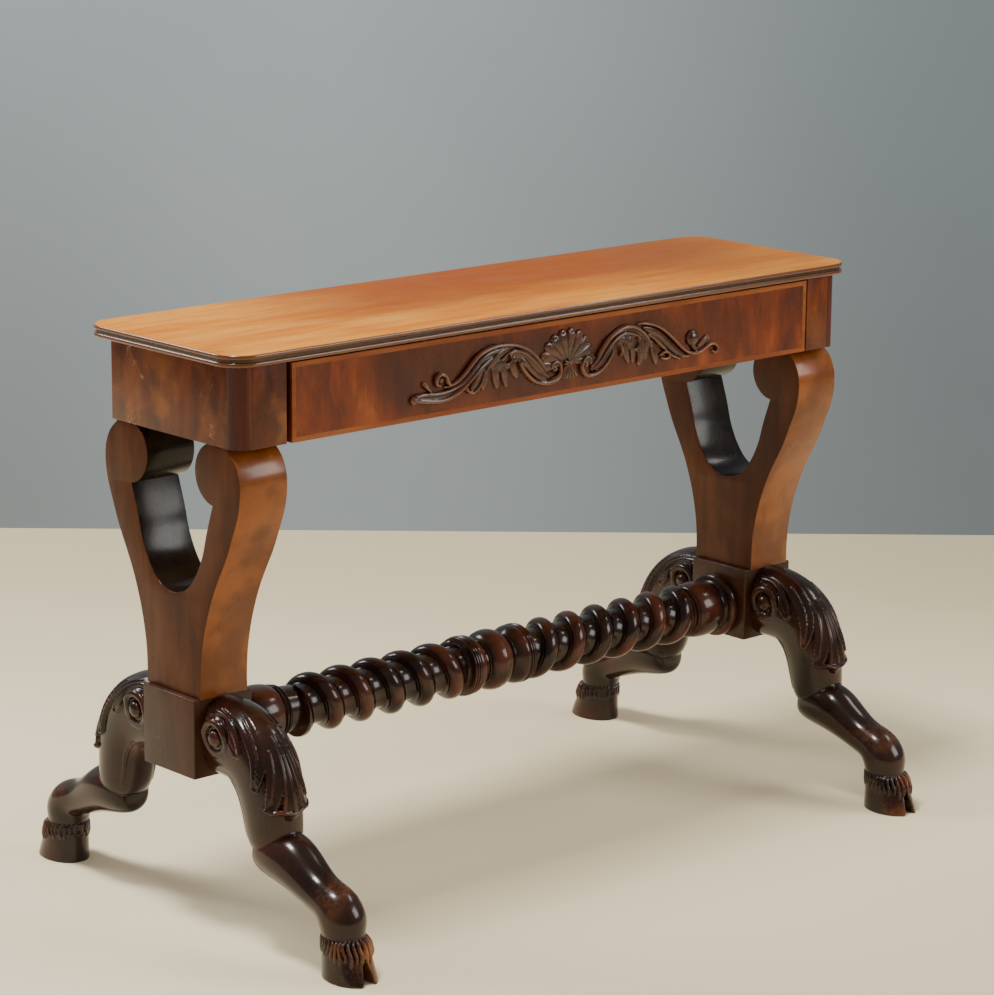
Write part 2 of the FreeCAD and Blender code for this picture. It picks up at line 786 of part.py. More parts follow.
def leaf():
    """Acanthus leaf that drapes over the thigh: a swollen thigh inside a lobed outline.

    Places are (out, down) as shares of the knee's reach and of the thigh's drop.
    """
    def at(out, down):
        return (-leg_stock, block_side + knee_reach * out, block_middle - thigh_drop * down)
    high = -0.65
    far = 1.6
    lobes = [[(0.41, -0.17), (0.55, -0.07), (0.81, -0.04)],
             [(0.85, -0.12), (0.89, 0.10), (1.08, 0.28)],
             [(1.12, 0.20), (1.19, 0.33), (1.31, 0.42), (1.43, 0.46), (far, 0.41)]]
    edge = [at(0.27, high)]
    for lobe in lobes:
        edge += smooth([at(*place) for place in lobe], lobe_flats)
    edge.append(at(far, high))
    outline = flat_face([Vector(*p) for p in edge]).extrude(Vector(2 * leg_stock, 0, 0))
    return thigh(leaf_thickness).common(outline)


def drum(radius, half_length):
    """Round boss across the leg at the volute, in flats."""
    y = block_side + volute_radius + 5
    z = block_middle + 9
    corners = [Vector(-half_length, y + radius * cos(2 * pi * i / flats_round_volute),
                      z + radius * sin(2 * pi * i / flats_round_volute))
               for i in range(flats_round_volute)]
    face = Part.Face(Part.makePolygon(corners + corners[:1]))
    return face.extrude(Vector(2 * half_length, 0, 0))


def volute():
    """Scroll roll beside the block, with a raised eye on each end."""
    half = leg_stock / 2
    return drum(volute_radius, half).fuse(drum(volute_eye_radius, half + volute_eye_proud))


def leg():
    """Right back leg, carved from one piece: thigh, leaf, volute, shank and cloven hoof."""
    body = thigh().multiFuse([leaf(), volute(), shank(), hoof()])
    behind = box(-leg_stock, leg_stock, -block_side, block_side, 0, table_height)
    beside_lyre = box(-leg_stock, leg_stock, block_side - 1,
                      lyre_base_half_width + lyre_leg_gap, block_top - 0.5, table_height)
    body = body.cut(behind).cut(beside_lyre)
    body.translate(Vector(support_centre, 0, 0))
    return body.fuse(dovetail_key()).removeSplitter()


# ----------------------------------------------------------------------- build

def build_case():
    export("top_board", top_board())
    export("right_corner_post", corner_post())
    export("left_corner_post", mirrored_in_x(corner_post()))
    export("right_end_panel", end_panel())
    export("left_end_panel", mirrored_in_x(end_panel()))
    export("left_front_stile", front_stile(-case_end + case_corner_radius, opening_left))
    export("right_front_stile", front_stile(opening_right, case_end - case_corner_radius))
    export("back_board", box(-case_inside_end, case_inside_end, case_inside_back, case_back,
                             case_bottom, case_top))
    front_mortise = top_tenon(-1, mortise_clearance)
    lower_rail = box(-case_inside_end, case_inside_end, stile_back, rail_back,
                     case_bottom, lower_rail_top)
    export("lower_front_rail", cut_all(lower_rail, [front_mortise, mirrored_in_x(front_mortise)]))
    export("upper_front_rail", box(-case_inside_end, case_inside_end, stile_back, rail_back,
                                   upper_rail_bottom, case_top))
    right_bearer = bearer().cut(top_tenon(1, mortise_clearance))
    export("right_bearer", right_bearer)
    export("left_bearer", mirrored_in_x(right_bearer))
    export("left_drawer_guide", guide(drawer_left - drawer_running_gap - guide_width))
    export("right_drawer_guide", guide(drawer_right + drawer_running_gap))
    left, right = kicker_middles()
    export("left_kicker", kicker(left))
    export("right_kicker", kicker(right))
    export("glue_blocks", glue_blocks())


def cut_all(shape, tools):
    for tool in tools:
        shape = shape.cut(tool)
    return shape


def build_drawer():
    export("drawer_front", drawer_front())
    export("drawer_edging", drawer_edging())
    export("drawer_left_side", drawer_side(drawer_left))
    export("drawer_right_side", drawer_side(drawer_right - drawer_side_thickness))
    export("drawer_back", drawer_back())
    export("drawer_bottom", drawer_bottom_board())
    export("drawer_carving", carving())


def build_stand():
    export("right_lyre", lyre())
    export("left_lyre", mirrored_in_x(lyre()))
    export("right_block", block())
    export("left_block", mirrored_in_x(block()))
    export("stretcher", stretcher())
    back_right = leg()
    export("back_right_leg", back_right)
    export("front_right_leg", mirrored_in_y(back_right))
    export("back_left_leg", mirrored_in_x(back_right))
    export("front_left_leg", mirrored_in_x(mirrored_in_y(back_right)))


os.makedirs("parts", exist_ok=True)
build_case()
build_drawer()
build_stand()
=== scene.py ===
import json
import random
from functools import partial
from math import atan2, cos, pi, radians, sin, sqrt

import bpy
import numpy as np
from mathutils import Euler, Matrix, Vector


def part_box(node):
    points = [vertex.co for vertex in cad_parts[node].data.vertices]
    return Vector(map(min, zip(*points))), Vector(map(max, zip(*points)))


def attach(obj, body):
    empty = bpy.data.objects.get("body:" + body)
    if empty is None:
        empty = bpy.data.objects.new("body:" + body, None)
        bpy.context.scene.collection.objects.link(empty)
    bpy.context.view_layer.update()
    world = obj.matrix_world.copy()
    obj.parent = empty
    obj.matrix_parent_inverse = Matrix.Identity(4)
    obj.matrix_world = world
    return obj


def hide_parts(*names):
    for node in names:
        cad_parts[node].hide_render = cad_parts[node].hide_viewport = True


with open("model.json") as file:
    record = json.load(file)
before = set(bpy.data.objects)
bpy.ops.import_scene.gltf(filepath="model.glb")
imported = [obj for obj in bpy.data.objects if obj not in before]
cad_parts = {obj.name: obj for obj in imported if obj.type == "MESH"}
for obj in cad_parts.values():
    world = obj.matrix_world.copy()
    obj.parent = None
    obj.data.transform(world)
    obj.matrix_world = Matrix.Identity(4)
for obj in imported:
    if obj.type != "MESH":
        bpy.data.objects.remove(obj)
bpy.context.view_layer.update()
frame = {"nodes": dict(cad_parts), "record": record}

# Pier table in walnut: polished top and veneered frieze, carved drawer, lyre supports, and a
# spiral-turned stretcher on goat legs finished in dark shellac. Metres, +X along the table,
# -Y to the front, +Z up.

mm = 0.001

# ------------------------------------------------------------------ camera and lights
frame_width = 994
frame_height = 995
camera_place = (-3.29281, -3.62535, 1.68214)
camera_turn = 42.05            # degrees to the right of +Y
camera_pitch = 13.19           # degrees below level
camera_roll = 0.42
focal_pixels = 3441.93
centre_pixel = (477.47, 483.22)
sensor_width = 36.0
view_limit = 50.0


def add_camera():
    data = bpy.data.cameras.new("camera")
    camera = bpy.data.objects.new("camera", data)
    bpy.context.scene.collection.objects.link(camera)
    data.sensor_fit = "HORIZONTAL"
    data.sensor_width = sensor_width
    data.lens = focal_pixels * sensor_width / frame_width
    data.shift_x = (frame_width / 2 - centre_pixel[0]) / frame_width
    data.shift_y = (centre_pixel[1] - frame_height / 2) / frame_width
    data.clip_end = view_limit
    camera.location = camera_place
    turn = Euler((radians(90 - camera_pitch), 0, radians(-camera_turn)), "XYZ").to_matrix()
    roll = Euler((0, 0, radians(camera_roll)), "XYZ").to_matrix()
    camera.rotation_euler = (turn @ roll).to_euler()
    bpy.context.scene.camera = camera


# name: place, aim, size, power, colour
lights = {
    "overhead_lamp": ((-1.5, 0.25, 5.6), (0, 0, 0.3), (1.0, 1.0), 265, (1, 0.97, 0.92)),
    "front_softbox": ((2.4, -3.4, 2.2), (0, 0, 0.5), (1.8, 1.8), 85, (1, 0.97, 0.93)),
    "side_softbox": ((2.6, -1.0, 3.3), (0, 0, 0.5), (1.2, 0.5), 20, (1, 0.97, 0.94)),
    "back_softbox": ((-1.8, 3.3, 3.2), (-0.1, 0, 0.5), (1.6, 1.2), 95, (1, 0.98, 0.95))}


def add_light(name, place, aim, size, power, colour):
    """A soft box that faces its aim."""
    data = bpy.data.lights.new(name, "AREA")
    data.shape = "RECTANGLE"
    data.size, data.size_y = size
    data.energy = power
    data.color = colour
    light = bpy.data.objects.new(name, data)
    bpy.context.scene.collection.objects.link(light)
    light.location = place
    light.rotation_euler = (Vector(aim) - Vector(place)).to_track_quat("-Z", "Y").to_euler()


# ------------------------------------------------------------------ nodes
# short name: shader node, the inputs that it takes in turn, its output (or all), its settings
kinds = {
    "place": ("TexCoord", (), "Object", {}),
    "axes": ("SeparateXYZ", (0,), None, {}),
    "squeezed": ("Mapping", ("Vector", "Scale"), 0, {}),
    "marked": ("Attribute", (), "Fac", {}),
    "noise": ("TexNoise", ("Vector", "Scale", "Detail", "Roughness", "Distortion"), "Fac", {}),
    "cells": ("TexVoronoi", ("Vector", "Scale"), "Distance", {}),
    "spread": ("MapRange", ("Value", "From Min", "From Max", "To Min", "To Max"), "Result",
               {"interpolation_type": "SMOOTHSTEP"}),
    "mix": ("Mix", (0, 6, 7), 2, {"data_type": "RGBA"}),
    "ramp": ("ValToRGB", (0,), "Color", {}),
    "rounded": ("Bevel", ("Radius",), "Normal", {"samples": 4}),
    "true": ("NewGeometry", (), "Normal", {}),
    "sameness": ("VectorMath", (0, 1), "Value", {"operation": "DOT_PRODUCT"}),
    "bump": ("Bump", ("Height", "Distance"), 0, {}),
    "wood": ("BsdfPrincipled", ("Base Color", "Roughness", "Normal", "Coat Weight",
                                "Coat Roughness", "Specular IOR Level"), 0, {}),
    "material": ("OutputMaterial", (0,), None, {}),
    "rays": ("LightPath", (), None, {}),
    "glow": ("Emission", ("Color", "Strength"), 0, {}),
    "sky": ("Background", ("Color", "Strength"), 0, {}),
    "either": ("MixShader", (0, 1, 2), 0, {}),
    "world": ("OutputWorld", (0,), None, {})}
for word, operation in (("plus", "ADD"), ("minus", "SUBTRACT"), ("times", "MULTIPLY"),
                        ("over", "DIVIDE"), ("larger", "MAXIMUM"), ("size", "ABSOLUTE"),
                        ("root", "SQRT")):
    kinds[word] = ("Math", (0, 1), 0, {"operation": operation})


def linear(code):
    """A hex sRGB colour as linear light."""
    channels = [int(code[i:i + 2], 16) / 255 for i in (1, 3, 5)]
    return tuple(c / 12.92 if c <= 0.04045 else ((c + 0.055) / 1.055) ** 2.4
                 for c in channels) + (1.0,)


def node(tree, kind, *values, stops=(), **settings):
    """Adds a shader node with its settings and returns its output. A value is a number, a hex
    colour, another node's output or None; the stops of a ramp are (place, hex colour)."""
    shader, inputs, output, usual = kinds[kind]
    new = tree.nodes.new("ShaderNode" + shader)
    for key, value in {**usual, **settings}.items():
        setattr(new, key, value)
    for key, value in zip(inputs, values):
        if isinstance(value, bpy.types.NodeSocket):
            tree.links.new(value, new.inputs[key])
        elif value is not None:
            new.inputs[key].default_value = linear(value) if isinstance(value, str) else value
    if stops:
        elements = new.color_ramp.elements
        while len(elements) < len(stops):
            elements.new(0.5)
        for element, (place, colour) in zip(elements, stops):
            element.position = place
            element.color = linear(colour)
    return new.outputs if output is None else new.outputs[output]


def start_material(name):
    """A new material, and the function that adds nodes to it."""
    material = bpy.data.materials.new(name)
    material.use_nodes = True
    material.node_tree.nodes.clear()
    return material, partial(node, material.node_tree)


def close_material(add, colour, rough, bump=None, bump_height=0.0, coat=0.0,
                   coat_roughness=0.03, specular=0.5):
    """Ends a material with its shader, its bump and its output."""
    if bump is not None:
        bump = add("bump", bump, bump_height)
    shader = add("wood", colour, rough, bump, coat, coat_roughness, specular)
    add("material", shader)


def give(piece, material):
    piece.data.materials.clear()
    piece.data.materials.append(material)


# ------------------------------------------------------------------ patterns of old wood
def along(add, axis, stretch):
    """Object coordinates squeezed along an axis, so that a pattern runs lengthwise there."""
    scale = [1 / stretch if letter == axis else 1.0 for letter in "xyz"]
    return add("squeezed", add("place"), scale)


def stain(add, colour, other, share, strength):
    """A colour with another laid over it by this share, at this strength."""
    return add("mix", add("times", share, strength), colour, other)


def fade(add, colour, other, value, low, high, most=1.0):
    """A colour that goes over to another, as far as most, as a value goes from low to high."""
    return add("mix", add("spread", value, low, high, 0.0, most), colour, other)


def worn_edge(add):
    """1 on the arrises of a piece, 1.6 mm wide, and 0 elsewhere."""
    same = add("sameness", add("rounded", 1.6 * mm), add("true"))
    return add("spread", same, 0.985, 0.86)


def fibres(add, axis):
    """Fine lengthwise streaks, 0.9 mm wide: coarser than real fibres so that they show."""
    return add("noise", along(add, axis, 60), 1 / (0.9 * mm), 2.0, 0.6)


def pores(add, axis):
    """Short dark pores along the grain, 1 inside a pore: 0.5 mm wide, 12 mm long."""
    cells = add("cells", along(add, axis, 24), 1 / (2.2 * mm))
    return add("spread", cells, 0.30, 0.12)


def scuffs(add, size=26 * mm):
    """1 on a few fine curved scratches that gather in patches."""
    place = add("place")
    wander = add("noise", place, 1 / size, 1.5, 0.4, 1.5)
    wander = add("size", add("minus", wander, 0.52))
    patch = add("noise", place, 1 / (size * 2.2), 2.0, 0.55)
    return add("times", add("spread", wander, 0.008, 0.003), add("spread", patch, 0.58, 0.66))


def specks(add, every=26 * mm, size=1.1 * mm):
    """1 in small round worm holes and knocks, a few to a hand's breadth."""
    cells = add("cells", add("place"), 1 / every)
    return add("spread", cells, size / every * 1.3, size / every * 0.7)


def walnut(name, stops, axis, rough, coat, figure=0.07, streak=0.5, edge=None, tone=None,
           pull=(3.5, 16), shine=None, specular=0.25):
    """Polished walnut: broad figure and growth bands under fine streaks and pores.

    The stops are colours from the darkest wood to the lightest, the figure its size, and the
    pull how far the figure and the bands are drawn out along the grain.
    """
    material, add = start_material(name)
    cloud = add("noise", along(add, axis, pull[0]), 1 / figure, 4.0, 0.55, 0.6)
    bands = add("noise", along(add, axis, pull[1]), 1 / (figure / 5), 3.0, 0.6, 0.4)
    fine = fibres(add, axis)
    body = add("plus", add("times", cloud, 0.62), add("times", bands, 0.38))
    streaks = add("times", add("minus", fine, 0.5), streak * 0.35)
    body = add("plus", body, streaks)
    colour = add("ramp", add("spread", body, 0.28, 0.72), stops=stops)
    colour = stain(add, colour, stops[0][1], pores(add, axis), 0.3)
    if tone is not None:
        colour = tone(add, colour)
    if edge is not None:
        colour = stain(add, colour, edge, worn_edge(add), 0.7)
    patchy = add("noise", along(add, axis, 2), 1 / (40 * mm), 4.0, 0.55)
    shone = add("spread", patchy, 0.3, 0.7, rough - 0.06, rough + 0.08)
    if shine is not None:
        shone, coat = shine(add, shone)
    close_material(add, colour, shone, add("minus", fine, pores(add, axis)),
                   0.06 * mm, coat, 0.18, specular)
    return material


def bare_wood(name, stops, axis, tone=None):
    """Unpolished secondary wood: pale, dry, with soft growth bands."""
    material, add = start_material(name)
    bands = add("noise", along(add, axis, 14), 1 / (14 * mm), 3.0, 0.6, 0.3)
    fine = fibres(add, axis)
    body = add("plus", add("times", bands, 0.7), add("times", fine, 0.3))
    grime = add("noise", along(add, axis, 2), 1 / (90 * mm), 4.0, 0.55)
    colour = add("mix", add("spread", grime, 0.45, 0.75, 0.0, 0.45),
                 add("ramp", add("spread", body, 0.3, 0.7), stops=stops), stops[0][1])
    if tone is not None:
        colour = tone(add, colour)
    close_material(add, colour, 0.75, fine, 0.1 * mm)
    return material


def dark_shellac():
    """Walnut under old dark shellac: near black and glossy, rubbed to red-brown on the
    high places, where a highlight is painted as well, with painted shade darkening the
    hollows, and worn to bare golden wood on the fetlocks and hooves."""
    material, add = start_material("dark_shellac_walnut")
    place = add("place")
    patch = add("noise", place, 1 / (60 * mm), 3.0, 0.5)
    speck = add("noise", place, 1 / (5 * mm), 4.0, 0.7)
    film = add("ramp", add("spread", patch, 0.3, 0.75),
               stops=[(0.0, "#1e100b"), (0.5, "#291710"), (1.0, "#372016")])
    high = add("marked", attribute_name="height")
    # red-brown on the high places: rubbing wear and a painted highlight
    rubbed = add("times", add("spread", high, 0.55, 0.95), add("spread", patch, 0.35, 0.65))
    red = add("noise", place, 1 / (70 * mm), 2.0, 0.55)
    colour = fade(add, film, "#501c12", red, 0.5, 0.75, 0.45)
    colour = stain(add, colour, "#7a3e28", rubbed, 0.4)
    # painted shade: the hollows are darkened nearly to black
    hollow = add("spread", high, 0.46, 0.1)
    colour = stain(add, colour, "#120a07", hollow, 0.85)
    colour = stain(add, colour, "#0d0605", specks(add), 0.7)
    ragged = add("plus", add("times", speck, 0.6), patch)
    bare = add("times", add("marked", attribute_name="bare"), add("spread", ragged, 0.6, 1.0))
    wood = add("ramp", patch, stops=[(0.3, "#4c2414"), (0.5, "#6a3a1e"), (0.72, "#905e34")])
    # painted shade in the hollows of the bare wood too
    wood = add("mix", hollow, wood, "#2a140a")
    colour = add("mix", bare, colour, wood)
    dull = add("plus", bare, add("times", speck, 0.5))
    close_material(add, colour, add("spread", dull, 0.1, 1.2, 0.2, 0.5),
                   add("noise", place, 1 / (1.6 * mm), 2.0, 0.55), 0.05 * mm, 0.3, 0.1, 0.22)
    return material


# ------------------------------------------------------------------ the table's finishes
post_joint = 557 * mm          # where a front stile meets its corner post


def gap_painted_shade(add, colour):
    """Painted shade: the drawer's sides are darkened just behind its front, so that the gap
    beside the drawer reads dark.
    """
    y = add("axes", add("place"))["Y"]
    # painted shade: dark drawer sides where the gap beside the drawer lies in shadow
    return fade(add, colour, "#1c110b", y, -0.105, -0.112)


def edge_of_top(add):
    """1 on the moulded edge of the top and 0 on its flat."""
    z = add("axes", add("place"))["Z"]
    return add("spread", z, 819.95 * mm, 819.2 * mm)


def old_top(add, colour):
    """Sun-bleached top: redder in its middle and along the back, pale near the front left
    corner, with small stains, and a dark rubbed moulding round it, with painted shade in the
    quirk between its beads."""
    place = add("place")
    axes = add("axes", place)
    cloud = add("noise", along(add, "x", 3), 1 / 0.11, 4.0, 0.55, 0.4)
    along_top = add("times", add("spread", axes["X"], -0.55, -0.05),
                    add("spread", axes["X"], 0.8, 0.4))
    back = add("spread", axes["Y"], -0.16, 0.06, 0.2, 1.0)
    red = add("plus", add("times", along_top, back), add("times", cloud, 0.6))
    colour = fade(add, colour, "#8e4218", red, 0.2, 1.35, 0.9)
    colour = fade(add, colour, "#835330", axes["X"], 0.12, 0.5, 0.4)
    blot = add("noise", place, 1 / (45 * mm), 3.0, 0.6)
    colour = fade(add, colour, "#9c5a2a", blot, 0.62, 0.72, 0.4)
    colour = stain(add, colour, "#4a2412", specks(add, 48 * mm, 1.6 * mm), 0.6)
    # painted shade: the quirk between the two beads is darkened
    quirk = add("size", add("minus", axes["Z"], 811.5 * mm))
    moulding = fade(add, "#1c0c06", "#5f3019", quirk, 1.2 * mm, 3.4 * mm)
    return stain(add, colour, moulding, edge_of_top(add), 0.95)


def bright_moulding(add, rough):
    """Edge mouldings keep more polish than the flat of the top."""
    edge = edge_of_top(add)
    return add("minus", rough, add("times", edge, 0.26)), edge


def old_case(add, colour):
    """Golden patches and scratches on the case, and dirt along the stiles' joints."""
    place = add("place")
    x = add("axes", place)["X"]
    glow = add("noise", place, 1 / (60 * mm), 3.0, 0.5)
    colour = fade(add, colour, "#9a5a22", glow, 0.5, 0.7, 0.5)
    joint = add("size", add("minus", add("size", x), post_joint))
    colour = fade(add, colour, "#160a06", joint, 1.6 * mm, 0.6 * mm, 0.9)
    return stain(add, colour, "#c79a6c", scuffs(add), 0.55)


def old_block(add, colour):
    colour = stain(add, colour, "#8a6a55", scuffs(add, 18 * mm), 0.4)
    return stain(add, colour, "#120806", specks(add), 0.7)


def smoky_veneer(add, colour):
    """Dark haze of old polish that the cloth left round the drawer's carving."""
    place = add("place")
    axes = add("axes", place)
    x = add("over", axes["X"], 0.36)
    z = add("over", add("minus", axes["Z"], 0.742), 0.062)
    away = add("root", add("plus", add("times", x, x), add("times", z, z)))
    cloud = add("noise", place, 1 / (50 * mm), 3.0, 0.55)
    away = add("plus", away, add("times", cloud, 0.8))
    return fade(add, colour, "#3a1a10", away, 1.65, 0.75, 0.72)


def old_lyre(add, colour):
    """Orange edges beside the browner faces: edge grain, and painted light where they face the
    lamps; a near-black opening that is painted shade; and worm holes.
    """
    patch = add("noise", add("place"), 1 / (70 * mm), 3.0, 0.55)
    # the edges: edge grain, lightened further as painted light
    orange = fade(add, "#70390f", "#9c5720", patch, 0.35, 0.65)
    colour = stain(add, colour, orange, add("marked", attribute_name="edge_grain"), 0.75)
    # painted shade: the faces inside the opening are near black
    black = fade(add, "#120c0a", "#231813", patch, 0.3, 0.7)
    colour = add("mix", add("marked", attribute_name="inside"), colour, black)
    return stain(add, colour, "#120806", specks(add), 0.8)


def glossy_opening(add, rough):
    """The lyres' edges keep more polish than their faces, and the opening is sleek."""
    inside = add("marked", attribute_name="inside")
    edge_grain = add("marked", attribute_name="edge_grain")
    return (add("minus", rough, add("times", inside, 0.1)),
            add("minus", add("times", edge_grain, 0.45),
                add("times", inside, 0.25)))


def wax_shade_and_ridge_highlights(add, colour):
    """Old wax and dirt darken the carving's hollows, deepened with painted shade, and hands
    have rubbed its ridges, lightened further with a painted highlight.
    """
    high = add("marked", attribute_name="height")
    # painted shade, with wax and dirt, in the hollows
    colour = fade(add, colour, "#140906", high, 0.56, 0.18, 0.92)
    # rubbed ridges, lightened further as a painted highlight
    return fade(add, colour, "#94604a", high, 0.62, 0.9, 0.65)


poplar = [(0.0, "#967650"), (0.5, "#b9986a"), (1.0, "#cfb284")]
finish = {
    # golden and dull, as oiled wood bleached by the sun
    "walnut_top": walnut(
        "satin_walnut_top", [(0.0, "#c06c1c"), (0.35, "#cf8029"), (0.7, "#db943a"),
                             (1.0, "#e4a54a")],
        "x", 0.48, 0.0, 0.10, 0.6, tone=old_top, pull=(3, 9), shine=bright_moulding,
        specular=0.06),
    # red-brown french polish with a soft gloss
    "walnut_case": walnut(
        "polished_walnut_case", [(0.0, "#3a1608"), (0.4, "#52220c"), (0.75, "#6a3010"),
                                 (1.0, "#824118")],
        "z", 0.3, 0.15, 0.10, 0.25, edge="#a0622f", tone=old_case, pull=(1.4, 4)),
    # darker red-brown, glossier than the case beside it
    "walnut_corner": walnut(
        "dark_polished_corner", [(0.0, "#33100a"), (0.5, "#4c190d"), (1.0, "#662712")],
        "z", 0.24, 0.25, streak=0.25),
    # lively figure, hazy round the carving and warmer at the ends
    "walnut_veneer": walnut(
        "figured_walnut_veneer", [(0.0, "#3e1309"), (0.35, "#5c210a"), (0.7, "#79310e"),
                                  (1.0, "#9b4e1b")],
        "z", 0.26, 0.2, 0.12, 0.2, tone=smoky_veneer, pull=(1.4, 3.5)),
    # plain light strips that frame the drawer
    "walnut_edging": walnut(
        "walnut_edging", [(0.0, "#6e3012"), (0.5, "#85421a"), (1.0, "#9c5a28")], "x", 0.35, 0.1),
    # waxed, with dark hollows of wax, dirt and painted shade, and bright ridges that are rubbed
    # and carry a painted highlight
    "walnut_carving": walnut(
        "carved_walnut", [(0.0, "#2f150c"), (0.5, "#462112"), (1.0, "#62351f")],
        "x", 0.24, 0.5, 0.03, tone=wax_shade_and_ridge_highlights, specular=0.3),
    # brown satin faces beside orange edges of edge grain and painted light, with painted shade in
    # the opening
    "walnut_lyre": walnut(
        "satin_walnut_lyre", [(0.0, "#391e10"), (0.4, "#462413"), (0.7, "#512c18"),
                              (1.0, "#5e361e")],
        "z", 0.32, 0.0, 0.10, 0.22, edge="#8f6040", tone=old_lyre, pull=(2, 7),
        shine=glossy_opening, specular=0.15),
    # the darkest brown satin, rubbed pale at its arrises
    "walnut_block": walnut(
        "satin_walnut_block", [(0.0, "#2e1a12"), (0.5, "#3d2418"), (1.0, "#4c2c1e")],
        "z", 0.32, 0.1, 0.1, 0.2, edge="#a08068", tone=old_block, pull=(2, 6)),
    # nearly black and glossy, red-brown where it is rubbed and where a highlight is painted, with
    # painted shade in the hollows
    "dark_walnut": dark_shellac(),
    # pale and dry, never polished
    "secondary_wood": bare_wood(
        "bare_pine", [(0.0, "#8a6a44"), (0.5, "#b08c5e"), (1.0, "#c9a877")], "x"),
    # the same, a little yellower, with its grain running back, and painted shade on the drawer's
    # sides just behind its front
    "drawer_wood": bare_wood("bare_poplar", poplar, "y", gap_painted_shade)}


# ------------------------------------------------------------------ modelling helpers
def edit(on):
    bpy.ops.object.mode_set(mode="EDIT" if on else "OBJECT")


def clear_selection():
    if bpy.context.object and bpy.context.object.mode != "OBJECT":
        edit(False)
    bpy.ops.object.select_all(action="DESELECT")


def pick(piece):
    """Selects a piece alone and makes it the active one."""
    clear_selection()
    piece.select_set(True)
    bpy.context.view_layer.objects.active = piece


def edit_all():
    """Edit mode, with the whole of the active piece selected."""
    edit(True)
    bpy.ops.mesh.select_all(action="SELECT")


def choose(piece, kind, rule):
    """Edit mode, with only the edges or faces selected that the rule chooses."""
    edit(True)
    bpy.ops.mesh.select_mode(type=kind)
    bpy.ops.mesh.select_all(action="DESELECT")
    edit(False)
    for item in piece.data.edges if kind == "EDGE" else piece.data.polygons:
        item.select = rule(item)
    edit(True)


def apply_modifier(piece, name, kind, **settings):
    modifier = piece.modifiers.new(name, kind)
    for key, value in settings.items():
        setattr(modifier, key, value)
    bpy.context.view_layer.objects.active = piece
    bpy.ops.object.modifier_apply(modifier=modifier.name)


def combine(piece, other, operation):
    """Adds another piece to this one, or cuts it out, and removes it."""
    apply_modifier(piece, "combined", "BOOLEAN", operation=operation, object=other, solver="EXACT")
    bpy.data.objects.remove(other)


def tidy_mesh(piece, smooth_angle=35, merge=0.02 * mm):
    """Merges doubles, points every face outwards and smooths all but the sharp edges."""
    pick(piece)
    edit_all()
    bpy.ops.mesh.remove_doubles(threshold=merge)
    bpy.ops.mesh.normals_make_consistent(inside=False)
    edit(False)
    bpy.ops.object.shade_smooth_by_angle(angle=radians(smooth_angle))


def settle(piece, name, body, slot, nodes):
    """Names a finished piece, puts its place into its mesh and ties it to the frame."""
    pick(piece)
    bpy.ops.object.transform_apply()
    piece.name = name
    piece.data.name = name
    give(piece, finish[slot])
    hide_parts(*nodes)
    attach(piece, body)


def join(pieces):
    clear_selection()
    for piece in pieces:
        piece.select_set(True)
    bpy.context.view_layer.objects.active = pieces[0]
    bpy.ops.object.join()
    return pieces[0]


def add_block(low, high):
    """A cube primitive stretched between two corners."""
    clear_selection()
    bpy.ops.mesh.primitive_cube_add(size=1, location=(low + high) / 2, scale=high - low)
    bpy.ops.object.transform_apply()
    return bpy.context.object


def round_edges(piece, chosen, radius, segments):
    """Bevels the edges whose two ends the rule chooses."""
    choose(piece, "EDGE", lambda edge: chosen(*(piece.data.vertices[i].co for i in edge.vertices)))
    bpy.ops.mesh.bevel(offset=radius, segments=segments, affect="EDGES")
    edit(False)


def cut_flat(piece, place, normal):
    """Cuts away what lies on the side that the normal points to, and closes the cut."""
    pick(piece)
    edit_all()
    bpy.ops.mesh.bisect(plane_co=place, plane_no=normal, use_fill=True, clear_outer=True)
    edit(False)


def mark(piece, name, values, domain="POINT"):
    """Stores one number per vertex or face for the material."""
    attribute = piece.data.attributes.new(name, "FLOAT", domain)
    attribute.data.foreach_set("value", np.asarray(values, np.float32))


def corners_of(piece):
    """The vertices of a piece as an array, one row each."""
    found = np.zeros(len(piece.data.vertices) * 3)
    piece.data.vertices.foreach_get("co", found)
    return found.reshape(-1, 3)


def move_corners(piece, places):
    piece.data.vertices.foreach_set("co", places.ravel())


def board(name, slot, ease=0.8 * mm):
    """A planed board in the place of the node of this name, with its arrises eased."""
    piece = add_block(*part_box(name))
    apply_modifier(piece, "eased", "BEVEL", width=ease, segments=3)
    tidy_mesh(piece)
    settle(piece, name + "_planed", "table", slot, [name])


# ------------------------------------------------------------------ top and case
bead_height = 6.6 * mm
bead_roundness = 2.9 * mm
quirk_depth = 2.6 * mm         # how far the groove between the beads is cut in
quirk_overlap = 1 * mm
corner_radius = 40 * mm
post_fullness = 0.985          # the quarter round's radius as a share of the post's width


def slab(low, high, bottom, top, inset):
    """One layer of the top, with rounded corners."""
    piece = add_block(Vector((low.x + inset, low.y + inset, bottom)),
                      Vector((high.x - inset, high.y - inset, top)))
    round_edges(piece, lambda a, b: abs(a.z - b.z) > abs(a.x - b.x) + abs(a.y - b.y),
                corner_radius - inset, 14)
    return piece


